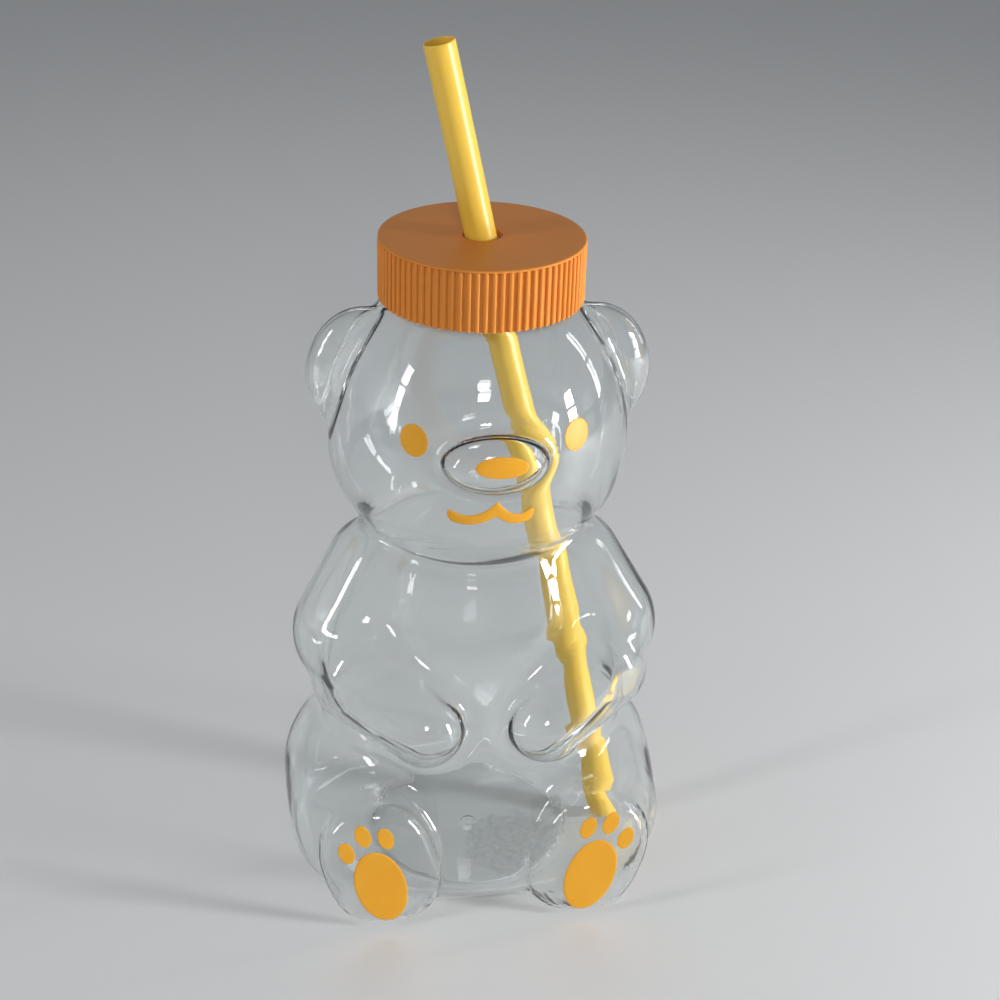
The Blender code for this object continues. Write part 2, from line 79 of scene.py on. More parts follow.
# %% Camera
CAMERA_AZIMUTH = math.radians(-8.0)
CAMERA_ELEVATION = math.radians(27.664)
CAMERA_ROLL = math.radians(1.867)
CAMERA_DISTANCE = 491.494 * MM
CAMERA_AIM_HEIGHT = 109.555 * MM
CAMERA_AIM_SHIFT = 6.543 * MM
CAMERA_LENS = 65.364
CAMERA_SENSOR = 36.0
CAMERA_NEAR = 10 * MM


def make_camera():
    """A camera that looks along -back, first set level and then rolled about its own axis."""
    flat = math.cos(CAMERA_ELEVATION)
    across, ahead = math.sin(CAMERA_AZIMUTH), -math.cos(CAMERA_AZIMUTH)
    back = Vector((across * flat, ahead * flat, math.sin(CAMERA_ELEVATION)))
    right = Vector((0, 0, 1)).cross(back).normalized()
    up = back.cross(right)
    place = Vector((0, 0, CAMERA_AIM_HEIGHT)) + CAMERA_AIM_SHIFT * right + CAMERA_DISTANCE * back
    rolled_right = math.cos(CAMERA_ROLL) * right + math.sin(CAMERA_ROLL) * up
    rolled_up = math.cos(CAMERA_ROLL) * up - math.sin(CAMERA_ROLL) * right
    camera = bpy.data.objects.new("camera", bpy.data.cameras.new("camera"))
    camera.data.lens = CAMERA_LENS
    camera.data.sensor_width = CAMERA_SENSOR
    camera.data.clip_start = CAMERA_NEAR
    turn = Matrix((rolled_right, rolled_up, back)).transposed().to_4x4()
    camera.matrix_world = Matrix.Translation(place) @ turn
    bpy.context.scene.collection.objects.link(camera)
    bpy.context.scene.camera = camera
    return camera


camera = make_camera()
print("camera", [round(value, 4) for value in camera.matrix_world.translation])

# %% [markdown]
# Every finish is a small tree of nodes. These helpers fill a node's inputs by name, do one sum, mix two
# colours, lay a texture on its object and start a material. Each link could be written out on a line of its
# own, but then the wiring would hide the values that matter.

# %% Helpers for nodes
def fill(tree, socket, value):
    """Gives a socket a value, or a link from another node's socket."""
    if isinstance(value, bpy.types.NodeSocket):
        tree.links.new(value, socket)
    else:
        socket.default_value = value


def feed(tree, node, **values):
    """Fills a node's inputs by name."""
    for title, value in values.items():
        fill(tree, node.inputs[title.replace("_", " ")], value)
    return node


def add_node(tree, kind, **values):
    return feed(tree, tree.nodes.new(kind), **values)


def math_node(tree, operation, first, second=0.0):
    """A sum whose inputs are numbers or the sockets of other nodes."""
    node = tree.nodes.new("ShaderNodeMath")
    node.operation = operation
    for socket, value in zip(node.inputs, (first, second)):
        fill(tree, socket, value)
    return node.outputs[0]


def colour_mix(tree, factor, first, second):
    """A mix of two colours, each plain or another node's socket."""
    mix = tree.nodes.new("ShaderNodeMix")
    mix.data_type = "RGBA"
    ends = [(*colour, 1) if isinstance(colour, tuple) else colour for colour in (first, second)]
    feed(tree, mix, Factor=factor, A=ends[0], B=ends[1])
    return mix.outputs["Result"]


def on_object(tree, kind, **values):
    """A node that reads the object's own coordinates."""
    place = tree.nodes.new("ShaderNodeTexCoord")
    return add_node(tree, kind, Vector=place.outputs["Object"], **values)


def finish_of(name, colour, roughness, **looks):
    """A new material and its shader, whose other inputs are given by name."""
    made = bpy.data.materials.new(name)
    made.use_nodes = True
    shader = made.node_tree.nodes["Principled BSDF"]
    feed(made.node_tree, shader, Base_Color=(*colour, 1), Roughness=roughness, **looks)
    return made, shader


print("helpers ready")

# %% [markdown]
# Clear plastic shows only what is around it, so the room matters as much as the bottle. The floor is plain
# and pale. The lamps are area lights cut into panes, as windows are: a strong one at the right, which also
# models the ribs of the lid, narrow ones at the left and the far right, which draw the long highlights along
# the arms and cheeks, a dim bank behind, and a small one in front for the hands. One even dome of light would
# leave the walls unseen, and one large lamp would draw a plain white bar on every curve.

# %% Floor, sky and lamps
FLOOR_COLOUR = (0.80, 0.81, 0.815)
FLOOR_ROUGHNESS = 0.5
FLOOR_REACH = 20.0
SKY_COLOUR = (0.56, 0.575, 0.59)
SKY_LOW = (0.41, 0.425, 0.44)
SKY_HIGH = (0.10, 0.105, 0.11)
# Each lamp's place, width and height, radiance and number of panes.
LAMPS = {
    "right_window": ((0.742, -0.30, 0.18), (0.10, 0.34), 78.0, 3),
    "left_window": ((-0.66, -0.24, 0.33), (0.07, 0.40), 15.0, 3),
    "back_bank": ((0.05, 0.62, 0.66), (0.60, 0.12), 2.4, 1),
    "front_pane": ((-0.02, -0.76, 0.56), (0.12, 0.15), 28.0, 2),
    "right_strip": ((0.62, 0.10, 0.30), (0.03, 0.36), 12.0, 2),
}
LAMP_AIM = Vector((0, 0, 0.10))
LAMP_BAR = 0.025


def make_floor():
    mesh = bpy.data.meshes.new("floor")
    far = FLOOR_REACH
    corners = [(-far, -far, 0), (far, -far, 0), (far, far, 0), (-far, far, 0)]
    mesh.from_pydata(corners, [], [(0, 1, 2, 3)])
    floor = bpy.data.objects.new("floor", mesh)
    bpy.context.scene.collection.objects.link(floor)
    paint, _ = finish_of("floor_paint", FLOOR_COLOUR, FLOOR_ROUGHNESS)
    mesh.materials.append(paint)
    floor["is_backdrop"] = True


def make_sky():
    """A pale sky for the eye. Light and reflections get one that darkens from the horizon up."""
    world = bpy.data.worlds.new("sky")
    world.use_nodes = True
    bpy.context.scene.world = world
    tree = world.node_tree
    tree.nodes.clear()
    way = tree.nodes.new("ShaderNodeTexCoord")
    parts = add_node(tree, "ShaderNodeSeparateXYZ", Vector=way.outputs["Generated"])
    dome = colour_mix(tree, parts.outputs["Z"], SKY_LOW, SKY_HIGH)
    path = tree.nodes.new("ShaderNodeLightPath")
    colour = colour_mix(tree, path.outputs["Is Camera Ray"], dome, SKY_COLOUR)
    background = add_node(tree, "ShaderNodeBackground", Color=colour)
    add_node(tree, "ShaderNodeOutputWorld", Surface=background.outputs[0])


def make_window(name, place, size, radiance, panes):
    """A window of equal panes, one above the other with bars between, turned towards the bottle."""
    turn = (Vector(place) - LAMP_AIM).to_track_quat("Z", "Y")
    pane_height = (size[1] - (panes - 1) * LAMP_BAR) / panes
    for number in range(panes):
        data = bpy.data.lights.new(name, "AREA")
        data.shape = "RECTANGLE"
        data.size, data.size_y = size[0], pane_height
        data.energy = radiance * math.pi * size[0] * pane_height
        lamp = bpy.data.objects.new(name, data)
        rise = (number - (panes - 1) / 2) * (pane_height + LAMP_BAR)
        lamp.location = Vector(place) + turn @ Vector((0, rise, 0))
        lamp.rotation_euler = turn.to_euler()
        bpy.context.scene.collection.objects.link(lamp)


bpy.context.scene.view_settings.view_transform = "Standard"
make_floor()
make_sky()
for name, (place, size, radiance, panes) in LAMPS.items():
    make_window(name, place, size, radiance, panes)
print("lamps", len(LAMPS))

# %% [markdown]
# The bear itself. Blown bottles have no edges, only forms that melt into each other, so the body is one
# formula: a smooth union of eggs for the torso, seat and head, tapered limbs, oval feet and a muzzle. It
# could be sculpted, but a formula keeps both sides alike, and a mesh of any fineness can be drawn from it,
# with a second wall inside. These are the driving sizes of the frame's own bottle.

# %% Driving sizes of the body
WAIST_HEIGHT = 105.5 * MM
TORSO_WIDTH = 86.0 * MM
TORSO_DEPTH = 73.6 * MM
TORSO_BACK_SHIFT = 2.2 * MM
TORSO_WIDEST = 34.0 * MM
TORSO_INTO_HEAD = 12.5 * MM
TORSO_BELOW = 80.0 * MM
TORSO_FULLNESS = 2.1
SEAT_WIDTH = 103.6 * MM
SEAT_DEPTH = 80.8 * MM
SEAT_BACK_SHIFT = 2.9 * MM
SEAT_WIDEST = 16.0 * MM
SEAT_ABOVE = 33.0 * MM
SEAT_BELOW = 42.0 * MM
SEAT_FULLNESS = 2.6
SEAT_SQUARENESS = 2.6
SHOULDER = (24.5 * MM, 0.0, 88.0 * MM)
SHOULDER_RADIUS = 17.0 * MM
ELBOW = (32.3 * MM, -6.0 * MM, 74.0 * MM)
ELBOW_RADIUS = 18.0 * MM
FOREARM = (31.0 * MM, -18.5 * MM, 67.6 * MM)
FOREARM_RADIUS = 15.0 * MM
HAND = (16.2 * MM, -33.4 * MM, 58.6 * MM)
HAND_RADIUS = 10.5 * MM
HIP = (30.5 * MM, 6.0 * MM, 22.0 * MM)
HIP_RADIUS = 22.5 * MM
KNEE = (32.6 * MM, -18.0 * MM, 19.0 * MM)
KNEE_RADIUS = 19.6 * MM
FOOT_SPREAD = 57.2 * MM
FOOT_MIDDLE = 19.4 * MM
FOOT_WIDTH = 31.4 * MM
FOOT_HEIGHT = 40.2 * MM
FOOT_FULLNESS = 2.4
FOOT_LENGTH = 34.0 * MM
FOOT_LEAN = math.radians(17)
FOOT_EDGE = 4.2 * MM
SOLE_FRONT = -44.4 * MM
HEAD_WIDTH = 79.4 * MM
HEAD_DEPTH = 76.0 * MM
HEAD_HEIGHT = WAIST_HEIGHT + 24.5 * MM
HEAD_BELOW = 35.5 * MM
HEAD_ABOVE = 48.0 * MM
EAR_SPREAD = 63.0 * MM
EAR_RISE = 19.0 * MM
EAR_WIDTH = 27.2 * MM
EAR_HEIGHT = 34.0 * MM
EAR_THICKNESS = 14.0 * MM
EAR_LEAN = math.radians(12)
EAR_DISH_DEPTH = 1.6 * MM
EAR_RIM = 4.5 * MM
MUZZLE_WIDTH = 27.4 * MM
MUZZLE_HEIGHT = 15.8 * MM
MUZZLE_RISE = 9.3 * MM
MUZZLE_STAND = 6.8 * MM
MUZZLE_ROOT = 12.5 * MM
MUZZLE_FULLNESS = 3.4
WAIST_FILLET = 3.0 * MM
ARM_FILLET = 3.5 * MM
ELBOW_FILLET = 3.0 * MM
LEG_FILLET = 5.0 * MM
FOOT_FILLET = 5.0 * MM
SEAT_FILLET = 8.0 * MM
EAR_FILLET = 2.5 * MM
MUZZLE_FILLET = 1.6 * MM
BASE_EDGE = 5.0 * MM
WALL = 0.7 * MM
NECK_BASE = HEAD_HEIGHT + 37.0 * MM
RIM = NECK_BASE + 14.7 * MM
NECK_RADIUS = 23.3 * MM
NECK_BORE = 21.8 * MM
NECK_ROUND = 0.5 * MM
RECESS_RADIUS = 28.6 * MM
RECESS_DEPTH = 1.0 * MM
REACH = SEAT_WIDTH
print("body", round(RIM / MM, 1), "mm tall")

# %% [markdown]
# The formula gives, for any point, about how far it lies outside the bear. A form is one such distance, and
# two forms meet in a fillet where their distances are nearly equal. Each form is divided by its own slope,
# so that the fillets and walls that are built on it keep their size.

# %% The bear's formula
TINY = 1e-9


def blend(first, second, fillet):
    """The union of two forms with a fillet where they meet."""
    near = np.maximum(fillet - np.abs(first - second), 0) / fillet
    return np.minimum(first, second) - near * near * fillet / 4


def egg(x, y, z, half_width, half_depth, above, below, fullness=2.0, squareness=2.0):
    """About how far a point lies outside an egg: fullness swells its shoulders, squareness its plan."""
    half_height = np.where(z > 0, above, below)
    across, along, up = np.abs(x) / half_width, np.abs(y) / half_depth, np.abs(z) / half_height
    plan = (across**squareness + along**squareness) ** (1 / squareness) + TINY
    up = up + TINY
    size = (plan**fullness + up**fullness) ** (1 / fullness)
    flat = (plan / size) ** (fullness - 1)
    slope_x = flat * (across / plan) ** (squareness - 1) / half_width
    slope_y = flat * (along / plan) ** (squareness - 1) / half_depth
    slope_z = (up / size) ** (fullness - 1) / half_height
    return (size - 1) / np.sqrt(slope_x**2 + slope_y**2 + slope_z**2)


def limb(x, y, z, start, start_radius, end, end_radius):
    """A limb with round ends that tapers from one joint to the next."""
    run = [b - a for a, b in zip(start, end)]
    offset = [x - start[0], y - start[1], z - start[2]]
    share = np.clip(sum(o * r for o, r in zip(offset, run)) / sum(r * r for r in run), 0, 1)
    away = sum((o - share * r) ** 2 for o, r in zip(offset, run))
    return np.sqrt(away) - (start_radius + share * (end_radius - start_radius))


def leaned(x, z, lean):
    """(across, along) a form whose top leans to +X by this angle."""
    turn, lean = math.cos(lean), math.sin(lean)
    return x * turn - z * lean, z * turn + x * lean


def foot(x, y, z):
    """A short oval foot that points forward, with a flat sole, a rounded edge and its top leaning out."""
    across, along = leaned(x - FOOT_SPREAD / 2, z - FOOT_MIDDLE, FOOT_LEAN)
    half_width, half_height = FOOT_WIDTH / 2, FOOT_HEIGHT / 2
    oval_part = egg(across, 0 * y, along, half_width, half_width, half_height, half_height, FOOT_FULLNESS)
    oval_part = oval_part + FOOT_EDGE
    middle = SOLE_FRONT + FOOT_LENGTH / 2
    long_part = np.abs(y - middle) - (FOOT_LENGTH / 2 - FOOT_EDGE)
    outside = np.hypot(np.maximum(oval_part, 0), np.maximum(long_part, 0))
    return outside + np.minimum(np.maximum(oval_part, long_part), 0) - FOOT_EDGE


def ear(x, y, z):
    """A flat lobe whose top leans inward, with a shallow dish inside its front rim."""
    x, z = leaned(x - EAR_SPREAD / 2, z - HEAD_HEIGHT - EAR_RISE, -EAR_LEAN)
    half_width, half_height = EAR_WIDTH / 2, EAR_HEIGHT / 2
    lobe = egg(x, y, z, half_width, EAR_THICKNESS / 2, half_height, half_height)
    bowl_y = y + EAR_THICKNESS - EAR_DISH_DEPTH
    half_width, half_height = half_width - EAR_RIM, half_height - EAR_RIM
    bowl = egg(x, bowl_y, z, half_width, EAR_THICKNESS / 2, half_height, half_height)
    return -blend(-lobe, bowl, EAR_FILLET)


def torso(x, y, z):
    """A trunk on a wide seat, both a little behind the middle."""
    above = WAIST_HEIGHT - TORSO_WIDEST + TORSO_INTO_HEAD
    half_width, half_depth, y_trunk = TORSO_WIDTH / 2, TORSO_DEPTH / 2, y - TORSO_BACK_SHIFT
    trunk = egg(x, y_trunk, z - TORSO_WIDEST, half_width, half_depth, above, TORSO_BELOW, TORSO_FULLNESS)
    half_width, half_depth, y_seat = SEAT_WIDTH / 2, SEAT_DEPTH / 2, y - SEAT_BACK_SHIFT
    form = (half_width, half_depth, SEAT_ABOVE, SEAT_BELOW, SEAT_FULLNESS, SEAT_SQUARENESS)
    seat = egg(x, y_seat, z - SEAT_WIDEST, *form)
    return blend(trunk, seat, SEAT_FILLET)


def head(x, y, z):
    """A skull with an ear and a muzzle, whose flat end faces forward."""
    skull = egg(x, y, z - HEAD_HEIGHT, HEAD_WIDTH / 2, HEAD_DEPTH / 2, HEAD_ABOVE, HEAD_BELOW)
    skull = blend(skull, ear(x, y, z), EAR_FILLET)
    muzzle_y = y + HEAD_DEPTH / 2 + MUZZLE_STAND - MUZZLE_ROOT
    muzzle_z = z - HEAD_HEIGHT - MUZZLE_RISE
    half_width, half_height = MUZZLE_WIDTH / 2, MUZZLE_HEIGHT / 2
    muzzle = egg(x, muzzle_z, muzzle_y, half_width, half_height, MUZZLE_ROOT, MUZZLE_ROOT, MUZZLE_FULLNESS)
    return blend(skull, muzzle, MUZZLE_FILLET)


def bear(x, y, z):
    """The whole body above the floor, without its neck: both sides are the same."""
    x = np.abs(x)
    body = blend(torso(x, y, z), limb(x, y, z, HIP, HIP_RADIUS, KNEE, KNEE_RADIUS), LEG_FILLET)
    body = blend(body, foot(x, y, z), FOOT_FILLET)
    upper_arm = limb(x, y, z, SHOULDER, SHOULDER_RADIUS, ELBOW, ELBOW_RADIUS)
    forearm = limb(x, y, z, FOREARM, FOREARM_RADIUS, HAND, HAND_RADIUS)
    body = blend(body, blend(upper_arm, forearm, ELBOW_FILLET), ARM_FILLET)
    return blend(body, head(x, y, z), WAIST_FILLET)


print("hand tip to skin", float(bear(*HAND)) / MM, "mm")

# %% [markdown]
# The skin is drawn over the formula as a net of closed rings, one above the other, like the courses of a
# pot. Rays fan out from a short level spine and stop at the surface. A coarse net is first slackened, so
# that its knots spread evenly over knees, hands and ears, and then split twice, each new knot being pulled
# back onto the surface. Marching cubes would do it too, but would leave a grid of steps in the highlights.

# %% The net of the skin
FAN_HEIGHTS = (0, WAIST_HEIGHT, HEAD_HEIGHT, HEAD_HEIGHT + EAR_RISE,
               HEAD_HEIGHT + EAR_RISE + EAR_HEIGHT / 3, NECK_BASE)
SPINE_SHARES = (0.3, 0.3, 0.6, 0.9, 0.75, 0.25)
FRONT_CROWDING = (0.45, 0.45, 0.5, 0.4, 0.2, 0.1)
SIDE_CROWDING = (0.15, 0.05, 0.05, 0.2, 0.2, 0.0)
TILT_HEIGHTS = (BASE_EDGE, FOOT_MIDDLE + FOOT_EDGE, HAND[2] - HAND_RADIUS)
TILTS = (0.0, 0.4, 0.0)
COARSE_AROUND = 60
COARSE_RINGS = 42
SPLITS = 2
PROBE = 0.02 * MM
MARCH_STEPS = 90
MARCH_SHARE = 0.7
CROWD_STEPS = 50


def fan(heights, around):
    """(half of the spine, sines, cosines) of the rays at each height, counted from the face."""
    half = np.interp(heights, FAN_HEIGHTS, SPINE_SHARES) * EAR_SPREAD / 2
    steps = np.arange(around) * 2 * math.pi / around
    turns = steps - np.interp(heights, FAN_HEIGHTS, FRONT_CROWDING) * np.sin(steps)
    turns = turns + np.interp(heights, FAN_HEIGHTS, SIDE_CROWDING) * np.sin(2 * steps)
    return half, np.sin(turns), np.cos(turns)


def skin_rings(heights, insets, around):
    """Closed rings on the body at these heights, each this far inside its surface."""
    heights, insets = np.asarray(heights)[:, None], np.asarray(insets)[:, None]
    half, sine, cosine = fan(heights, around)
    tilt = np.interp(heights, TILT_HEIGHTS, TILTS) * (1 + cosine) / 2
    reach = np.full((len(heights), around), REACH)
    for _ in range(MARCH_STEPS):
        distance = bear((half + reach) * sine, -reach * cosine, heights + reach * tilt)
        reach = reach - MARCH_SHARE * (distance + insets)
    return np.stack([(half + reach) * sine, -reach * cosine, heights + reach * tilt], axis=-1)


def normals(points):
    """Unit vectors straight out of the body's surface."""
    slopes = []
    for axis in np.eye(3):
        ahead, behind = points + PROBE * axis, points - PROBE * axis
        slopes.append(bear(*np.moveaxis(ahead, -1, 0)) - bear(*np.moveaxis(behind, -1, 0)))
    slopes = np.stack(slopes, axis=-1)
    return slopes / np.linalg.norm(slopes, axis=-1, keepdims=True)


def settled(points, times=3):
    """Points pulled straight onto the surface."""
    for _ in range(times):
        points = points - normals(points) * bear(*np.moveaxis(points, -1, 0))[..., None]
    return points


def slackened(net, times):
    """The net with each knot drawn to the middle of its neighbours and back onto the surface."""
    for _ in range(times):
        beside = np.roll(net, 1, axis=1) + np.roll(net, -1, axis=1)
        net[1:-1] = settled((beside[1:-1] + net[:-2] + net[2:]) / 4, 2)
    return net


def split(net):
    """The net with a new knot between every two, along the rings and up the columns."""
    rings, around = net.shape[:2]
    wide = np.empty((rings, 2 * around, 3))
    wide[:, ::2] = net
    wide[:, 1::2] = (net + np.roll(net, -1, axis=1)) / 2
    tall = np.empty((2 * rings - 1, 2 * around, 3))
    tall[::2] = wide
    tall[1::2] = (wide[:-1] + wide[1:]) / 2
    return tall


def crowded(low, high, count, crowds):
    """Heights from low to high, closer together about each (height, spread, strength)."""
    fine = np.linspace(low, high, CROWD_STEPS * count)
    density = 1 + sum(strength * np.exp(-(((fine - at) / spread) ** 2)) for at, spread, strength in crowds)
    run = np.concatenate([[0], np.cumsum((density[1:] + density[:-1]) / 2)])
    return np.interp(np.linspace(0, run[-1], count), run, fine)


def draw_skin():
    """The net, with its knots closer together at the hands, the waist, the muzzle and the ears."""
    crowds = (
        (HAND[2] - HAND_RADIUS, HAND_RADIUS, 0.8),
        (WAIST_HEIGHT, 2 * WAIST_FILLET, 1.5),
        (HEAD_HEIGHT + MUZZLE_RISE, MUZZLE_HEIGHT / 2, 2.0),
        (HEAD_HEIGHT + EAR_RISE + EAR_HEIGHT / 2, 2 * EAR_FILLET, 2.5),
    )
    low, high = BASE_EDGE, NECK_BASE - NECK_ROUND
    net = skin_rings(crowded(low, high, COARSE_RINGS, crowds), np.zeros(COARSE_RINGS), COARSE_AROUND)
    net = slackened(net, 5)
    for _ in range(SPLITS):
        net = split(net)
        net[[0, -1]] = skin_rings((low, high), (0, 0), net.shape[1])
        net[1:-1] = settled(net[1:-1])
        net = slackened(net, 3)
    return net


skin = draw_skin()
print("skin net", skin.shape[0], "rings of", skin.shape[1])

# %% [markdown]
# Two tools come before the bottle itself. The first turns a stack of equal rings into a mesh, which serves
# for every piece here, with level circles and roundings to stack. The second is the screw thread of the neck
# and the lid: a low ridge that climbs one pitch for each turn. A Screw modifier could sweep it, but as a
# swelling of the rings it stays one skin.

# %% Mesh helpers and the screw thread
THREAD_PITCH = 4.233 * MM
THREAD_RIDGE = 0.8 * MM
THREAD_HALF = 0.95 * MM
THREAD_FADE = math.radians(35)
THREAD_FLANK = 1.5


def smooth(share):
    """A share from 0 to 1, eased at both ends."""
    share = np.clip(share, 0, 1)
    return share * share * (3 - 2 * share)


def thread(angles, heights, start, turns):
    """Height of a right-handed ridge that starts at this height and climbs for so many turns."""
    ridge = np.zeros(np.broadcast(angles, heights).shape)
    for lap in range(math.ceil(turns)):
        run = np.mod(angles, 2 * math.pi) + 2 * math.pi * lap
        away = np.abs(heights - start - THREAD_PITCH * run / (2 * math.pi))
        ends = smooth(run / THREAD_FADE) * smooth((turns * 2 * math.pi - run) / THREAD_FADE)
        flank = smooth(THREAD_FLANK * (1 - away / THREAD_HALF))
        ridge = np.maximum(ridge, THREAD_RIDGE * ends * flank)
    return ridge


def threaded(ring, radius, start, turns, way=1):
    """A ring of this radius with its thread standing out, or in where way is -1."""
    angles = np.arctan2(ring[:, 1], ring[:, 0])
    swell = 1 + way * thread(angles, ring[:, 2], start, turns) / radius
    return ring * np.stack([swell, swell, np.ones(len(ring))], axis=-1)


def net_object(name, rings, closed=False, low_cap=None, high_cap=None):
    """A piece from equal rings. A closed one joins its last ring to its first, and a cap is a point."""
    rings = np.asarray(rings)
    count, around = rings.shape[:2]
    points = [tuple(point) for point in rings.reshape(-1, 3)]
    faces = []
    for row in range(count if closed else count - 1):
        low, high = row * around, (row + 1) % count * around
        for i in range(around):
            after = (i + 1) % around
            faces.append((low + i, low + after, high + after, high + i))
    for cap, row, upward in ((low_cap, 0, False), (high_cap, count - 1, True)):
        if cap is None:
            continue
        points.append(tuple(cap))
        for i in range(around):
            a, b = row * around + i, row * around + (i + 1) % around
            faces.append((a, b, len(points) - 1) if upward else (b, a, len(points) - 1))
    mesh = bpy.data.meshes.new(name)
    mesh.from_pydata(points, [], faces)
    mesh.shade_smooth()
    piece = bpy.data.objects.new(name, mesh)
    bpy.context.scene.collection.objects.link(piece)
    return piece


def circle(radius, height, around):
    """A level ring about the upright axis."""
    angles = np.arange(around) * 2 * math.pi / around
    return np.stack([radius * np.cos(angles), radius * np.sin(angles), np.full(around, height)], axis=-1)


def arc(middle_radius, middle_height, radius, start, end, count=6):
    """(radius, height) pairs along a rounding, angles in degrees from straight out."""
    turns = np.radians(np.linspace(start, end, count))
    return [(middle_radius + radius * math.cos(t), middle_height + radius * math.sin(t)) for t in turns]


print("thread", round(THREAD_PITCH / MM, 2), "mm a turn")

# %% [markdown]
# The wall. A blown wall isn't even: it is thin where the plastic stretched far and thicker in the creases,
# and this unevenness is what makes a straw behind it look broken. The inner wall is the skin moved inwards
# by a thickness that drifts slowly over the body and grows where two forms meet. A plain Solidify would keep
# both walls exactly parallel, which looks like cut glass.

# %% The bottle
WALL_DRIFT = 0.28
CREASE_WALL = 0.9 * MM
CREASE_PROBE = 1.5 * MM
CREASE_TIGHT = 4.0 * MM
CREASE_HEIGHTS = (38.0 * MM, 48.0 * MM)
NUB_RADIUS = 1.7 * MM
NUB_RISE = 0.5 * MM
THREAD_START = RIM - 9.2 * MM
THREAD_TURNS = 1.25
DRIFT_PEAK = 1.6
NECK_RINGS = 32


def creases(net):
    """From 0 on a plain wall to 1 in a tight valley where two forms meet."""
    bend = -6 * bear(*np.moveaxis(net, -1, 0))
    for step in CREASE_PROBE * np.vstack([np.eye(3), -np.eye(3)]):
        bend = bend + bear(*np.moveaxis(net + step, -1, 0))
    share = np.clip(-bend * CREASE_TIGHT / CREASE_PROBE**2, 0, 1)
    for _ in range(4):
        beside = np.roll(share, 1, axis=1) + np.roll(share, -1, axis=1)
        share[1:-1] = (2 * share[1:-1] + beside[1:-1] + share[:-2] + share[2:]) / 6
    return share


def wall_thickness(net):
    """The wall, drifting slowly from place to place and thicker in the creases above the legs."""
    x, y, z = np.moveaxis(net, -1, 0) / MM
    drift = np.sin(0.11 * x + 0.07 * z) * np.cos(0.09 * y - 0.05 * z)
    drift = drift + (DRIFT_PEAK - 1) * np.sin(0.19 * y + 0.13 * x + 0.1 * z)
    above_legs = np.interp(net[..., 2], CREASE_HEIGHTS, (0, 1))
    return WALL * (1 + WALL_DRIFT * drift / DRIFT_PEAK) + CREASE_WALL * above_legs * creases(net)


def ring_on_rays(radius, height, around, level=NECK_BASE):
    """A level circle on the rays of the skin at one level, by default its top."""
    half, sine, cosine = fan(level, around)
    reach = np.sqrt(radius**2 - (half * sine * cosine) ** 2) - half * sine**2
    return np.stack([(half + reach) * sine, -reach * cosine, np.full(around, height)], axis=-1)


def neck_rings(around):
    """The neck from its root, up its thread and over the rim, down to the root of its bore."""
    root, edge = NECK_BASE + 2 * NECK_ROUND, RIM - NECK_ROUND
    rings = []
    for height in np.linspace(root, edge, NECK_RINGS):
        ring = ring_on_rays(NECK_RADIUS, height, around)
        rings.append(threaded(ring, NECK_RADIUS, THREAD_START, THREAD_TURNS))
    inward = arc(NECK_RADIUS - NECK_ROUND, edge, NECK_ROUND, 30, 90, 3)
    inward += arc(NECK_BORE + NECK_ROUND, edge, NECK_ROUND, 90, 180, 4)
    rings += [ring_on_rays(radius, height, around) for radius, height in inward]
    rings.append(ring_on_rays(NECK_BORE, root, around))
    return rings


def between(low, high, shares):
    """Rings between two, leaving the first along its slope and meeting the second upright."""
    return [low + (high - low) * np.array([1 - (1 - s) ** 2, 1 - (1 - s) ** 2, s]) for s in shares]


def base_edge(radius, lift, around):
    """The rounded foot of a wall, from the floor up."""
    turns = np.linspace(0, math.pi / 2, 9)[:-1]
    return skin_rings(lift + radius * (1 - np.cos(turns)), lift + radius * (1 - np.sin(turns)), around)


def base_ring(radius, height, around):
    """A level circle on the rays of the base, small enough to pass inside the spine."""
    return ring_on_rays(RECESS_RADIUS, 0, around, 0) * (radius / RECESS_RADIUS) + (0, 0, height)


def nub_rings(low, around):
    """The moulding nub in the middle of the base, from its top outwards."""
    steps = ((0.5, 1.0), (0.85, 0.92), (1.0, 0.6), (1.2, 0.15), (1.6, 0.0))
    return [base_ring(NUB_RADIUS * share, low + NUB_RISE * rise, around) for share, rise in steps]


def make_bottle():
    """One closed skin: out along the base, up outside, over the rim and down inside."""
    around = skin.shape[1]
    inner_skin = skin - wall_thickness(skin)[..., None] * normals(skin)
    neck = neck_rings(around)
    outside = [*base_edge(BASE_EDGE, 0, around), *skin]
    inside = [*base_edge(BASE_EDGE - WALL, WALL, around), *inner_skin]
    shares = (0.4, 0.75, 0.98, 1)
    rings = nub_rings(RECESS_DEPTH, around)
    rings += [base_ring((RECESS_RADIUS - WALL) * share, RECESS_DEPTH, around) for share in shares]
    rings += [base_ring(RECESS_RADIUS, 0, around), base_ring(RECESS_RADIUS + WALL, 0, around)]
    rings += outside
    rings += between(skin[-1], neck[0], (0.25, 0.5, 0.75))
    rings += neck
    rings += between(inner_skin[-1], neck[-1], (0.75, 0.5, 0.25))
    rings += inside[::-1]
    rings += [base_ring(RECESS_RADIUS + WALL, WALL, around)]
    top = RECESS_DEPTH + WALL
    rings += [base_ring(RECESS_RADIUS * share, top, around) for share in shares[::-1]]
    rings += nub_rings(top, around)[::-1]
    low, high = (0, 0, RECESS_DEPTH + NUB_RISE), (0, 0, top + NUB_RISE)
    return net_object("bear_bottle", rings, low_cap=low, high_cap=high)


bottle = make_bottle()
print("bottle faces", len(bottle.data.polygons))

# %% [markdown]
# Plastics share one trait: nothing moulded is perfectly flat. A shader group makes slow waves and fine
# grain from the place on the object, with its own size and depth for each plastic that uses it. It puts out
# only a height, and each material turns that into a normal, so the gloss itself stays in the material.

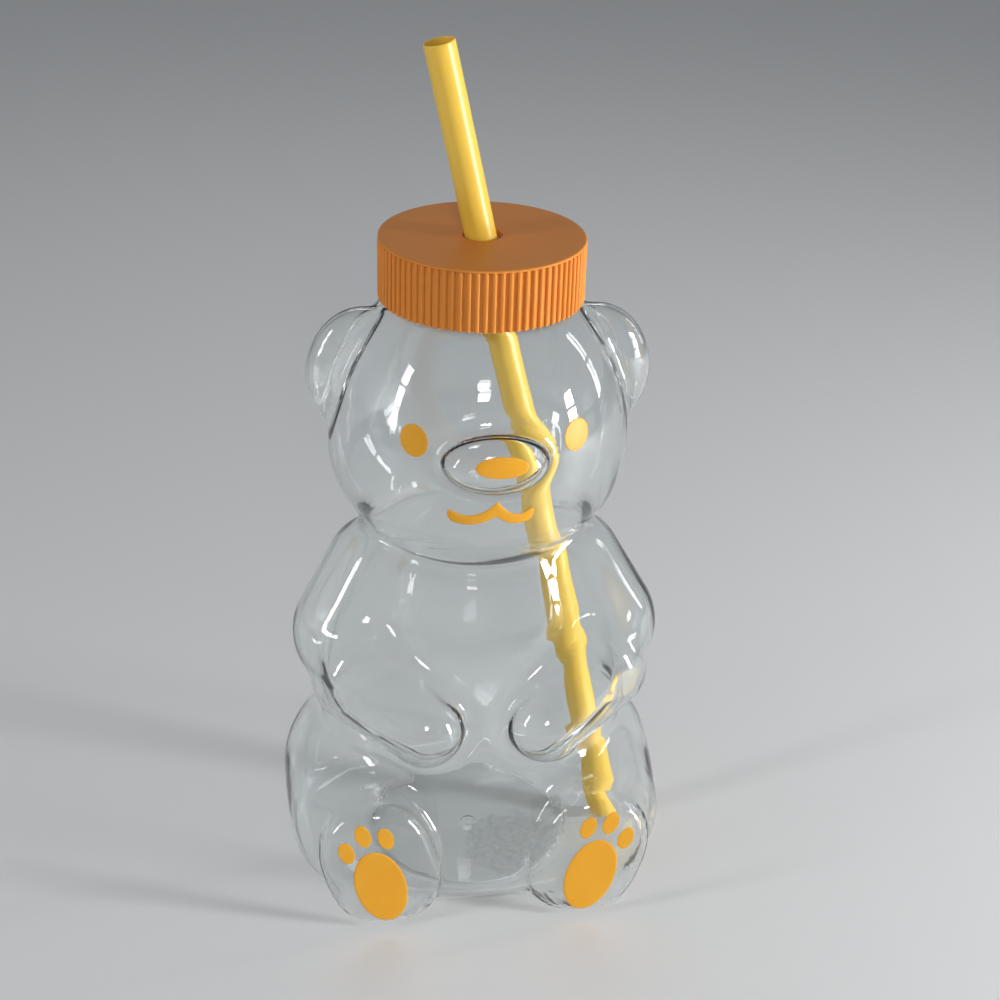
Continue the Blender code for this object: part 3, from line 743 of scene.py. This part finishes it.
# %% The moulded surface group
NOISE_DETAIL = 3.0
WAVE_ROUGHNESS = 0.42
WAVE_INPUTS = {"Wave Scale": 30.0, "Wave Depth": 1.0, "Grain Scale": 900.0, "Grain Depth": 0.1}


def make_wave_group():
    group = bpy.data.node_groups.new("moulded_waves", "ShaderNodeTree")
    face = group.interface
    for title, default in WAVE_INPUTS.items():
        socket = face.new_socket(name=title, in_out="INPUT", socket_type="NodeSocketFloat")
        socket.default_value = default
    face.new_socket(name="Height", in_out="OUTPUT", socket_type="NodeSocketFloat")
    entry, leave = group.nodes.new("NodeGroupInput"), group.nodes.new("NodeGroupOutput")
    heights = []
    for kind in ("Wave", "Grain"):
        noise = on_object(group, "ShaderNodeTexNoise", Detail=NOISE_DETAIL, Roughness=WAVE_ROUGHNESS)
        feed(group, noise, Scale=entry.outputs[kind + " Scale"])
        heights.append(math_node(group, "MULTIPLY", noise.outputs["Fac"], entry.outputs[kind + " Depth"]))
    feed(group, leave, Height=math_node(group, "ADD", *heights))
    return group


WAVES = make_wave_group()


def add_waves(made, shader, sizes):
    """Surface waves and grain: the scale and depth of the one and the other, depths in millimetres."""
    tree = made.node_tree
    waves = tree.nodes.new("ShaderNodeGroup")
    waves.node_tree = WAVES
    for title, value in zip(WAVE_INPUTS, sizes):
        waves.inputs[title].default_value = value
    bump = add_node(tree, "ShaderNodeBump", Strength=1.0, Distance=MM, Height=waves.outputs["Height"])
    feed(tree, shader, Normal=bump.outputs["Normal"])


def drifting(name, light, deep, drift, roughness, waves, **looks):
    """A plastic whose colour drifts slowly between two shades."""
    made, shader = finish_of(name, light, roughness, **looks)
    tree = made.node_tree
    noise = on_object(tree, "ShaderNodeTexNoise", Scale=drift, Detail=NOISE_DETAIL)
    feed(tree, shader, Base_Color=colour_mix(tree, noise.outputs["Fac"], light, deep))
    add_waves(made, shader, waves)
    return made


def give(piece, material, body, slot, *replaced):
    """Finishes a piece: its material, the body that carries it and the nodes it stands for. The slot is not
    used.
    """
    piece.data.materials.clear()
    piece.data.materials.append(material)
    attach(piece, body)
    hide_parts(*replaced)


print("group inputs", [item.name for item in WAVES.interface.items_tree])

# %% [markdown]
# The bottle is clear, glossy polyester, which bends light a little more than window glass does. Its waves
# are slow and shallow. Light passes the thin wall almost as if it weren't there, so shadow rays and scattered
# rays meet a clear shader instead of the bending one: without that, everything inside would sit in shadow.

# %% Clear plastic
PLASTIC_COLOUR = (0.965, 0.985, 0.985)
PLASTIC_SHADOW = (0.95, 0.955, 0.955)
PLASTIC_BEND = 1.57
PLASTIC_ROUGHNESS = 0.02
PLASTIC_WAVES = (38.0, 0.18, 400.0, 0.002)


def make_clear_plastic():
    looks = {"IOR": PLASTIC_BEND, "Transmission_Weight": 1.0}
    made, shader = finish_of("clear_plastic", PLASTIC_COLOUR, PLASTIC_ROUGHNESS, **looks)
    add_waves(made, shader, PLASTIC_WAVES)
    tree = made.node_tree
    path = tree.nodes.new("ShaderNodeLightPath")
    clear = add_node(tree, "ShaderNodeBsdfTransparent", Color=(*PLASTIC_SHADOW, 1))
    seen = shader.outputs[0]
    for kind in ("Is Shadow Ray", "Is Diffuse Ray"):
        mix = tree.nodes.new("ShaderNodeMixShader")
        for socket, source in zip(mix.inputs, (path.outputs[kind], seen, clear.outputs[0])):
            fill(tree, socket, source)
        seen = mix.outputs[0]
    feed(tree, tree.nodes["Material Output"], Surface=seen)
    return made


give(bottle, make_clear_plastic(), "bottle", "clear_plastic", "bottle")
print("clear plastic bends light by", PLASTIC_BEND)

# %% [markdown]
# The lid is moulded in one shot of orange plastic: a flat satin top with a small hole, a crisp edge, and a
# skirt whose ribs give the fingers a grip. The body is a turned profile with the female thread inside. A
# plain cylinder would be quicker, but its sharp edges would catch no light.

# %% The lid's body
LID_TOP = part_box("lid")[1].z
LID_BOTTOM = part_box("lid")[0].z
LID_BORE = 24.6 * MM
LID_VALLEY = 25.8 * MM
LID_CREST = (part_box("lid")[1].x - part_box("lid")[0].x) / 2
LID_TOP_WALL = 1.5 * MM
LID_EDGE = 0.45 * MM
LID_RIM = LID_CREST - 0.08 * MM
LID_LEDGE = 0.3 * MM
LID_HOLE = 5.05 * MM
LID_SOFT = 0.2 * MM
LID_THREAD_TURNS = 1.1
LID_AROUND = 320


def make_lid_body():
    """The lid's outline, turned: up the skirt, over the top and down its threaded bore."""
    soft, under = LID_SOFT, LID_TOP - LID_TOP_WALL
    profile = arc(LID_VALLEY - soft, LID_BOTTOM + soft, soft, -90, 0, 4)
    shoulder = LID_TOP - LID_EDGE
    low, high = LID_BOTTOM + 2 * soft, shoulder - LID_LEDGE
    profile += [(LID_VALLEY, height) for height in np.linspace(low, high, 6)]
    profile += arc(LID_RIM - LID_EDGE, shoulder, LID_EDGE, -20, 90, 9)
    profile += [(radius, LID_TOP) for radius in np.linspace(LID_CREST - 3 * MM, LID_HOLE + 2 * MM, 6)]
    profile += arc(LID_HOLE + soft, LID_TOP - soft, soft, 90, 180, 4)
    profile += arc(LID_HOLE + soft, under + soft, soft, 180, 270, 4)
    profile += [(LID_BORE * share, under) for share in (0.4, 0.7, 0.9)]
    rings = [circle(radius, height, LID_AROUND) for radius, height in profile]
    start = THREAD_START - THREAD_PITCH / 2
    for height in np.linspace(under - 0.3 * MM, LID_BOTTOM + soft, 36):
        ring = circle(LID_BORE, height, LID_AROUND)
        rings.append(threaded(ring, LID_BORE, start, LID_THREAD_TURNS, -1))
    rings.append(circle(LID_BORE + soft, LID_BOTTOM, LID_AROUND))
    return net_object("screw_lid", rings, closed=True)


lid = make_lid_body()
print("lid", round(2 * LID_CREST / MM, 1), "mm across, faces", len(lid.data.polygons))

# %% [markdown]
# The ribs repeat, so Geometry Nodes makes one round bar, sunk to its middle in the skirt and drawn in
# quickly at its top end, and sets copies of it around the skirt. They could be cut into the profile as
# well, but one tree keeps their count and size in view.

# %% The ribs, by Geometry Nodes
RIB_COUNT = 80
RIB_RADIUS = 0.62 * MM
RIB_LENGTH = LID_TOP - LID_EDGE - LID_BOTTOM
RIB_STEPS = 24
RIB_SIDES = 12
RIB_INPUTS = {"Body": "Geometry", "Count": "Int", "Ring Radius": "Float", "Rib Radius": "Float",
              "Rib Length": "Float", "Foot Height": "Float", "Plastic": "Material"}
RIB_TAPER = ((0.0, 0.8), (0.07, 1.0), (0.92, 1.0), (0.965, 0.86), (0.985, 0.6), (1.0, 0.08))


def straight_up(tree, height):
    return add_node(tree, "ShaderNodeCombineXYZ", Z=height).outputs[0]


def rib_tree():
    """A tree that joins its body with a ring of upright bars, whose foot stands at the foot height."""
    tree = bpy.data.node_groups.new("lid_ribs", "GeometryNodeTree")
    for title, kind in RIB_INPUTS.items():
        tree.interface.new_socket(name=title, in_out="INPUT", socket_type="NodeSocket" + kind)
    tree.interface.new_socket(name="Geometry", in_out="OUTPUT", socket_type="NodeSocketGeometry")
    given, leave = tree.nodes.new("NodeGroupInput").outputs, tree.nodes.new("NodeGroupOutput")

    length = given["Rib Length"]
    spine = add_node(tree, "GeometryNodeCurvePrimitiveLine", End=straight_up(tree, length))
    cut = add_node(tree, "GeometryNodeResampleCurve", Curve=spine.outputs[0], Count=RIB_STEPS)
    share = tree.nodes.new("GeometryNodeSplineParameter").outputs["Factor"]
    swing = math_node(tree, "COSINE", math_node(tree, "MULTIPLY", share, math.pi))
    half_length = math_node(tree, "MULTIPLY", length, 0.5)
    height = math_node(tree, "MULTIPLY", math_node(tree, "SUBTRACT", 1.0, swing), half_length)
    crowd = add_node(tree, "GeometryNodeSetPosition", Geometry=cut.outputs[0])
    feed(tree, crowd, Position=straight_up(tree, height))
    taper = add_node(tree, "ShaderNodeFloatCurve", Value=share)
    curve = taper.mapping.curves[0]
    curve.points[0].location, curve.points[1].location = RIB_TAPER[0], RIB_TAPER[-1]
    for at, size in RIB_TAPER[1:-1]:
        curve.points.new(at, size)
    section = add_node(tree, "GeometryNodeCurvePrimitiveCircle", Resolution=RIB_SIDES)
    feed(tree, section, Radius=given["Rib Radius"])
    bar = add_node(tree, "GeometryNodeCurveToMesh", Curve=crowd.outputs[0], Fill_Caps=True)
    feed(tree, bar, Profile_Curve=section.outputs[0], Scale=taper.outputs[0])

    ring = add_node(tree, "GeometryNodeMeshCircle", Vertices=given["Count"], Radius=given["Ring Radius"])
    lift = add_node(tree, "GeometryNodeTransform", Geometry=ring.outputs[0])
    feed(tree, lift, Translation=straight_up(tree, given["Foot Height"]))
    copies = add_node(tree, "GeometryNodeInstanceOnPoints", Points=lift.outputs[0], Instance=bar.outputs[0])
    real = add_node(tree, "GeometryNodeRealizeInstances", Geometry=copies.outputs[0])
    join = add_node(tree, "GeometryNodeJoinGeometry", Geometry=real.outputs[0])
    feed(tree, join, Geometry=given["Body"])
    smooth_shade = add_node(tree, "GeometryNodeSetShadeSmooth", Geometry=join.outputs[0])
    paint = add_node(tree, "GeometryNodeSetMaterial", Geometry=smooth_shade.outputs[0])
    feed(tree, paint, Material=given["Plastic"])
    feed(tree, leave, Geometry=paint.outputs[0])
    return tree


def make_plain(piece, tree, values):
    """Runs a tree on a piece with these named inputs, and leaves a plain mesh."""
    modifier = piece.modifiers.new("tree", "NODES")
    modifier.node_group = tree
    for item in tree.interface.items_tree:
        if item.item_type == "SOCKET" and item.in_out == "INPUT" and item.name in values:
            modifier[item.identifier] = values[item.name]
    graph = bpy.context.evaluated_depsgraph_get()
    mesh = bpy.data.meshes.new_from_object(piece.evaluated_get(graph), depsgraph=graph)
    piece.modifiers.remove(modifier)
    piece.data = mesh


ribs = rib_tree()
print("rib tree", len(ribs.nodes), "nodes,", RIB_COUNT, "ribs of", round(RIB_LENGTH / MM, 1), "mm")

# %% [markdown]
# The lid's plastic is an opaque terracotta orange, a satin gloss with fine grain from the spark-eroded
# mould and very slow waves on the flat top, where the plastic sank a little as it cooled. Its colour drifts
# a little with the flow, so a single flat colour would look like paint.

# %% Orange plastic
ORANGE_LIGHT = (0.73, 0.270, 0.052)
ORANGE_DEEP = (0.65, 0.228, 0.040)
ORANGE_DRIFT = 45.0
ORANGE_ROUGHNESS = 0.42
ORANGE_GLOSS = 0.10
ORANGE_WAVES = (30.0, 0.05, 2600.0, 0.012)


def make_orange():
    look = (ORANGE_LIGHT, ORANGE_DEEP, ORANGE_DRIFT, ORANGE_ROUGHNESS, ORANGE_WAVES)
    return drifting("orange_plastic", *look, Specular_IOR_Level=ORANGE_GLOSS)


orange = make_orange()
make_plain(lid, ribs, {
    "Count": RIB_COUNT,
    "Ring Radius": LID_CREST - RIB_RADIUS,
    "Rib Radius": RIB_RADIUS,
    "Rib Length": RIB_LENGTH,
    "Foot Height": LID_BOTTOM,
    "Plastic": orange,
})
give(lid, orange, "lid", "orange_plastic", "lid")
print("lid with ribs, faces", len(lid.data.polygons))

# %% [markdown]
# Under the lid lies a thin foam ring that seals it on the rim. It is punched from sheet, so its edges are
# square but soft, and its faces have a fine closed-cell texture. A torus would be too round, so four
# roundings are turned.

# %% Seal ring
SEAL_WIDTH = 3.1 * MM
SEAL_EDGE = 0.15 * MM
FOAM_LIGHT = (0.74, 0.74, 0.72)
FOAM_DEEP = (0.66, 0.66, 0.64)
FOAM_DRIFT = 500.0
FOAM_ROUGHNESS = 0.7
FOAM_WAVES = (200.0, 0.02, 2200.0, 0.05)


def make_seal():
    low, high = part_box("seal_ring")
    outer, inner, soft = high.x, high.x - SEAL_WIDTH, SEAL_EDGE
    profile = arc(outer - soft, low.z + soft, soft, -90, 0, 4)
    profile += arc(outer - soft, high.z - soft, soft, 0, 90, 4)
    profile += arc(inner + soft, high.z - soft, soft, 90, 180, 4)
    profile += arc(inner + soft, low.z + soft, soft, 180, 270, 4)
    rings = [circle(radius, height, 160) for radius, height in profile]
    return net_object("foam_seal", rings, closed=True)


def make_foam():
    return drifting("grey_foam", FOAM_LIGHT, FOAM_DEEP, FOAM_DRIFT, FOAM_ROUGHNESS, FOAM_WAVES)


seal = make_seal()
give(seal, make_foam(), "liner", "grey_foam", "seal_ring")
print("seal faces", len(seal.data.polygons))

# %% [markdown]
# The straw is a drawn tube of yellow plastic, thin enough to glow a little where light comes through from
# behind. It stands in the corner of the base and leans out through the lid. It is turned along its own axis
# here, with both ends softened, and faint waves keep its gloss from looking like paint. The axis comes from
# the record, where the straw's slide says which way it points.

# %% Straw
STRAW_RADIUS = 4.0 * MM
STRAW_WALL = 0.45 * MM
STRAW_LENGTH = 237.3 * MM
STRAW_END = 2 * MM
STRAW_LIGHT = (0.86, 0.555, 0.076)
STRAW_DEEP = (0.80, 0.49, 0.056)
STRAW_DRIFT = 90.0
STRAW_ROUGHNESS = 0.34
STRAW_GLOW = 0.25
STRAW_GLOW_RADIUS = (1.0, 0.6, 0.2)
STRAW_GLOW_SCALE = 1.5 * MM
STRAW_WAVES = (120.0, 0.05, 1500.0, 0.006)


def straw_axis():
    """The way the straw points, which is the way its joint slides."""
    for joint in frame["joints"]:
        if joint["name"] == "straw_pull":
            return Vector(joint["axis"]).normalized()


def straw_foot(axis):
    """The middle of the straw's lower end, from the corners of its box."""
    low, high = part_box("straw")
    spread = STRAW_RADIUS * math.hypot(axis.y, axis.z)
    rise = STRAW_RADIUS * math.hypot(axis.x, axis.y)
    return Vector((high.x - spread, (low.y + high.y) / 2, low.z + rise))


def make_straw():
    axis, soft = straw_axis(), STRAW_WALL / 2
    middle = STRAW_RADIUS - soft
    climb = np.linspace(STRAW_END, STRAW_LENGTH - STRAW_END, 40)
    profile = arc(middle, soft, soft, -90, 0, 4)
    profile += [(STRAW_RADIUS, height) for height in climb]
    profile += arc(middle, STRAW_LENGTH - soft, soft, 0, 180, 7)
    profile += [(STRAW_RADIUS - STRAW_WALL, height) for height in climb[::-1]]
    profile += arc(middle, soft, soft, 180, 270, 4)[:-1]
    rings = [circle(radius, height, 64) for radius, height in profile]
    piece = net_object("drinking_straw", rings, closed=True)
    turn = axis.to_track_quat("Z", "Y").to_matrix().to_4x4()
    piece.data.transform(Matrix.Translation(straw_foot(axis)) @ turn)
    return piece


def make_yellow():
    look = (STRAW_LIGHT, STRAW_DEEP, STRAW_DRIFT, STRAW_ROUGHNESS, STRAW_WAVES)
    glow = {"Subsurface_Weight": STRAW_GLOW, "Subsurface_Radius": STRAW_GLOW_RADIUS}
    glow["Subsurface_Scale"] = STRAW_GLOW_SCALE
    return drifting("yellow_plastic", *look, **glow)


straw = make_straw()
give(straw, make_yellow(), "straw", "yellow_plastic", "straw")
print("straw faces", len(straw.data.polygons))

# %% [markdown]
# A frosted film disc lies in the recess under the base. Air trapped under it shows as a mottled, bubbly
# patch towards one side of the disc, so its frost is uneven: a mask with a wandering edge picks the place of
# that patch, and inside it a cell pattern darkens the frost. A plain grey disc would look like a hole.

# %% Base label
FROST_COLOUR = (0.58, 0.60, 0.595)
FROST_DARK = (0.36, 0.38, 0.38)
PATCH_PLACE = (11.0 * MM, -11.0 * MM, 0.0)
PATCH_RADIUS = 17.0 * MM
PATCH_WANDER = 1.4
PATCH_WANDER_SCALE = 220.0
PATCH_EDGE = (0.05, 0.35)
BUBBLE_SCALE = 760.0
FROST_ROUGHNESS = 0.55
FROST_WAVES = (160.0, 0.15, 900.0, 0.03)


def make_label():
    low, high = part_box("base_label")
    radius, soft = (high.x - low.x) / 2, (high.z - low.z) / 2
    profile = [(radius * share, low.z) for share in (0.1, 0.4, 0.7, 0.9)]
    profile += arc(radius - soft, low.z + soft, soft, -90, 90, 7)
    profile += [(radius * share, high.z) for share in (0.9, 0.7, 0.4, 0.1)]
    rings = [circle(radius, height, 128) for radius, height in profile]
    return net_object("frosted_label", rings, low_cap=(0, 0, low.z), high_cap=(0, 0, high.z))


def make_frost():
    """Even frost, with a mottled patch of air bubbles towards the front right."""
    made, shader = finish_of("frosted_film", FROST_COLOUR, FROST_ROUGHNESS)
    tree = made.node_tree
    far = on_object(tree, "ShaderNodeVectorMath")
    far.operation = "DISTANCE"
    far.inputs[1].default_value = PATCH_PLACE
    edge = on_object(tree, "ShaderNodeTexNoise", Scale=PATCH_WANDER_SCALE, Detail=NOISE_DETAIL)
    wander = math_node(tree, "SUBTRACT", edge.outputs["Fac"], 0.5)
    wander = math_node(tree, "MULTIPLY", wander, PATCH_WANDER)
    inside = math_node(tree, "DIVIDE", far.outputs["Value"], PATCH_RADIUS)
    inside = math_node(tree, "SUBTRACT", 1.0, inside)
    mask = add_node(tree, "ShaderNodeMapRange", From_Min=PATCH_EDGE[0], From_Max=PATCH_EDGE[1])
    mask.interpolation_type = "SMOOTHSTEP"
    feed(tree, mask, Value=math_node(tree, "ADD", inside, wander))
    cells = on_object(tree, "ShaderNodeTexVoronoi", Scale=BUBBLE_SCALE)
    cells.feature = "SMOOTH_F1"
    dapple = math_node(tree, "MULTIPLY", cells.outputs["Distance"], mask.outputs["Result"])
    feed(tree, shader, Base_Color=colour_mix(tree, dapple, FROST_COLOUR, FROST_DARK))
    add_waves(made, shader, FROST_WAVES)
    return made


label = make_label()
give(label, make_frost(), "bottle", "frosted_film", "base_label")
print("label faces", len(label.data.polygons))

# %% [markdown]
# The face and the paws are printed with a soft pad, in one thick coat of yellow ink that follows the
# curved wall. Each print is drawn as it looks from straight ahead and set on the skin point by point. A
# texture would be simpler, but the ink has a body and an edge that catch the light.

# %% Prints
INK = 0.14 * MM
INK_LIFT = 0.03 * MM
SIDES = ((-1, "left"), (1, "right"))
FACE_SHIFT = 0.7 * MM
MOUTH_REACHES = (12.4 * MM, 9.4 * MM)
MOUTH_LOW_SHARE = 0.58
MOUTH_DROP = 3.4 * MM
MOUTH_BELOW_HEAD = 3.4 * MM
MOUTH_STROKE = 2.9 * MM
EYE_PLACE = (20.3 * MM, 13 * MM)
EYE_SIZE = (6.6 * MM, 7.9 * MM)
NOSE_RISE = 2 * MM
NOSE_SIZE = (13.0 * MM, 5.6 * MM)
SOLE_PLACE = (0.2 * MM, -4.3 * MM)
SOLE_SIZE = (13.8 * MM, 24.0 * MM)
SOLE_LEAN = math.radians(14)
TOE_PLACES = ((9.4 * MM, 7.6 * MM), (5.0 * MM, 12.9 * MM), (-1.1 * MM, 11.8 * MM))
TOE_SIZE = (4.2 * MM, 7.3 * MM)
TOE_LEAN = math.radians(16)
INK_LIGHT = (0.84, 0.40, 0.026)
INK_DEEP = (0.75, 0.335, 0.018)
INK_DRIFT = 120.0
INK_ROUGHNESS = 0.42
INK_GLOSS = 0.3
INK_WAVES = (300.0, 0.01, 3000.0, 0.004)


def front_points(x, z, lift):
    """Points this far off the body's front, straight ahead of (x, z)."""
    y = np.full(np.shape(x), -REACH)
    for _ in range(MARCH_STEPS):
        y = y + MARCH_SHARE * (bear(x, y, z) - lift)
    return np.stack([x, y, z], axis=-1)


def print_oval(name, middle, size, lean=0.0, around=56):
    """An oval of ink on the body's front, its top leaning to +X."""
    angles = np.arange(around) * 2 * math.pi / around
    across, up = size[0] / 2 * np.cos(angles), size[1] / 2 * np.sin(angles)
    x = across * math.cos(lean) + up * math.sin(lean)
    z = up * math.cos(lean) - across * math.sin(lean)
    rings = []
    profile = [(share, 0) for share in (0.15, 0.4, 0.7, 0.9, 0.99)]
    profile += [(1.0, 0.3), (0.995, 0.7), (0.975, 1.0)]
    profile += [(share, 1.0) for share in (0.9, 0.7, 0.4, 0.15)]
    for share, coat in profile:
        rings.append(front_points(middle[0] + share * x, middle[1] + share * z, INK_LIFT + coat * INK))
    low, high = [front_points(*middle, INK_LIFT + coat * INK) for coat in (0, 1)]
    return net_object(name, rings, low_cap=low, high_cap=high)


def print_mouth():
    """A ribbon of ink with rounded ends along two hanging arcs that meet in a cusp."""
    along = np.sin(np.linspace(-math.pi / 2, math.pi / 2, 97))
    reach = np.where(along < 0, *MOUTH_REACHES)
    away = np.abs(along) / MOUTH_LOW_SHARE - 1
    z = HEAD_HEIGHT - MOUTH_BELOW_HEAD - MOUTH_DROP * (1 - away**2)
    slope = 2 * MOUTH_DROP / (MOUTH_LOW_SHARE * reach) * away
    past = np.clip(1 - (1 - np.abs(along)) * reach / (MOUTH_STROKE / 2), 0, 0.98)
    upright = MOUTH_STROKE / 2 * np.sqrt(1 + slope**2) * np.sqrt(1 - past**2)
    x = along * reach + FACE_SHIFT
    rings = []
    for side, coat in ((-1, 0.6), (-1, 0), (0, 0), (1, 0), (1, 0.6), (0.85, 1), (0, 1), (-0.85, 1)):
        rings.append(front_points(x, z + side * upright, INK_LIFT + coat * INK))
    ends = [np.mean([ring[at] for ring in rings], axis=0) for at in (0, -1)]
    return net_object("ink_mouth", np.stack(rings, axis=1), low_cap=ends[0], high_cap=ends[1])


def make_ink():
    look = (INK_LIGHT, INK_DEEP, INK_DRIFT, INK_ROUGHNESS, INK_WAVES)
    return drifting("ochre_ink", *look, Specular_IOR_Level=INK_GLOSS)


ink = make_ink()
for side, word in SIDES:
    eye_place = (FACE_SHIFT + side * EYE_PLACE[0], HEAD_HEIGHT + EYE_PLACE[1])
    eye = print_oval("ink_eye_" + word, eye_place, EYE_SIZE)
    give(eye, ink, "bottle", "ochre_ink", "eye_print_" + word)
    sole_place = (side * (FOOT_SPREAD / 2 + SOLE_PLACE[0]), FOOT_MIDDLE + SOLE_PLACE[1])
    sole = print_oval("ink_sole_" + word, sole_place, SOLE_SIZE, side * SOLE_LEAN, 80)
    give(sole, ink, "bottle", "ochre_ink", "sole_pad_" + word)
    for number, (out, up) in enumerate(TOE_PLACES, 1):
        toe_place = (side * (FOOT_SPREAD / 2 + out), FOOT_MIDDLE + up)
        toe = print_oval(f"ink_toe_{word}_{number}", toe_place, TOE_SIZE, side * TOE_LEAN)
        give(toe, ink, "bottle", "ochre_ink", f"toe_pad_{word}_{number}")
nose_place = (FACE_SHIFT, HEAD_HEIGHT + MUZZLE_RISE + NOSE_RISE)
nose = print_oval("ink_nose", nose_place, NOSE_SIZE)
give(nose, ink, "bottle", "ochre_ink", "nose_print")
mouth = print_mouth()
give(mouth, ink, "bottle", "ochre_ink", "mouth_print")

# %% [markdown]
# Last, the dressed bottle's box is measured and its change from the frame's box is printed, so that the two
# may be compared: the looks may change every surface, but never the size of the thing.

# %% Sizes and finish
dressed_box = [list(corner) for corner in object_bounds()]
change = np.subtract(dressed_box, cad_box) / MM
print("box change in mm", change.round(2).tolist())
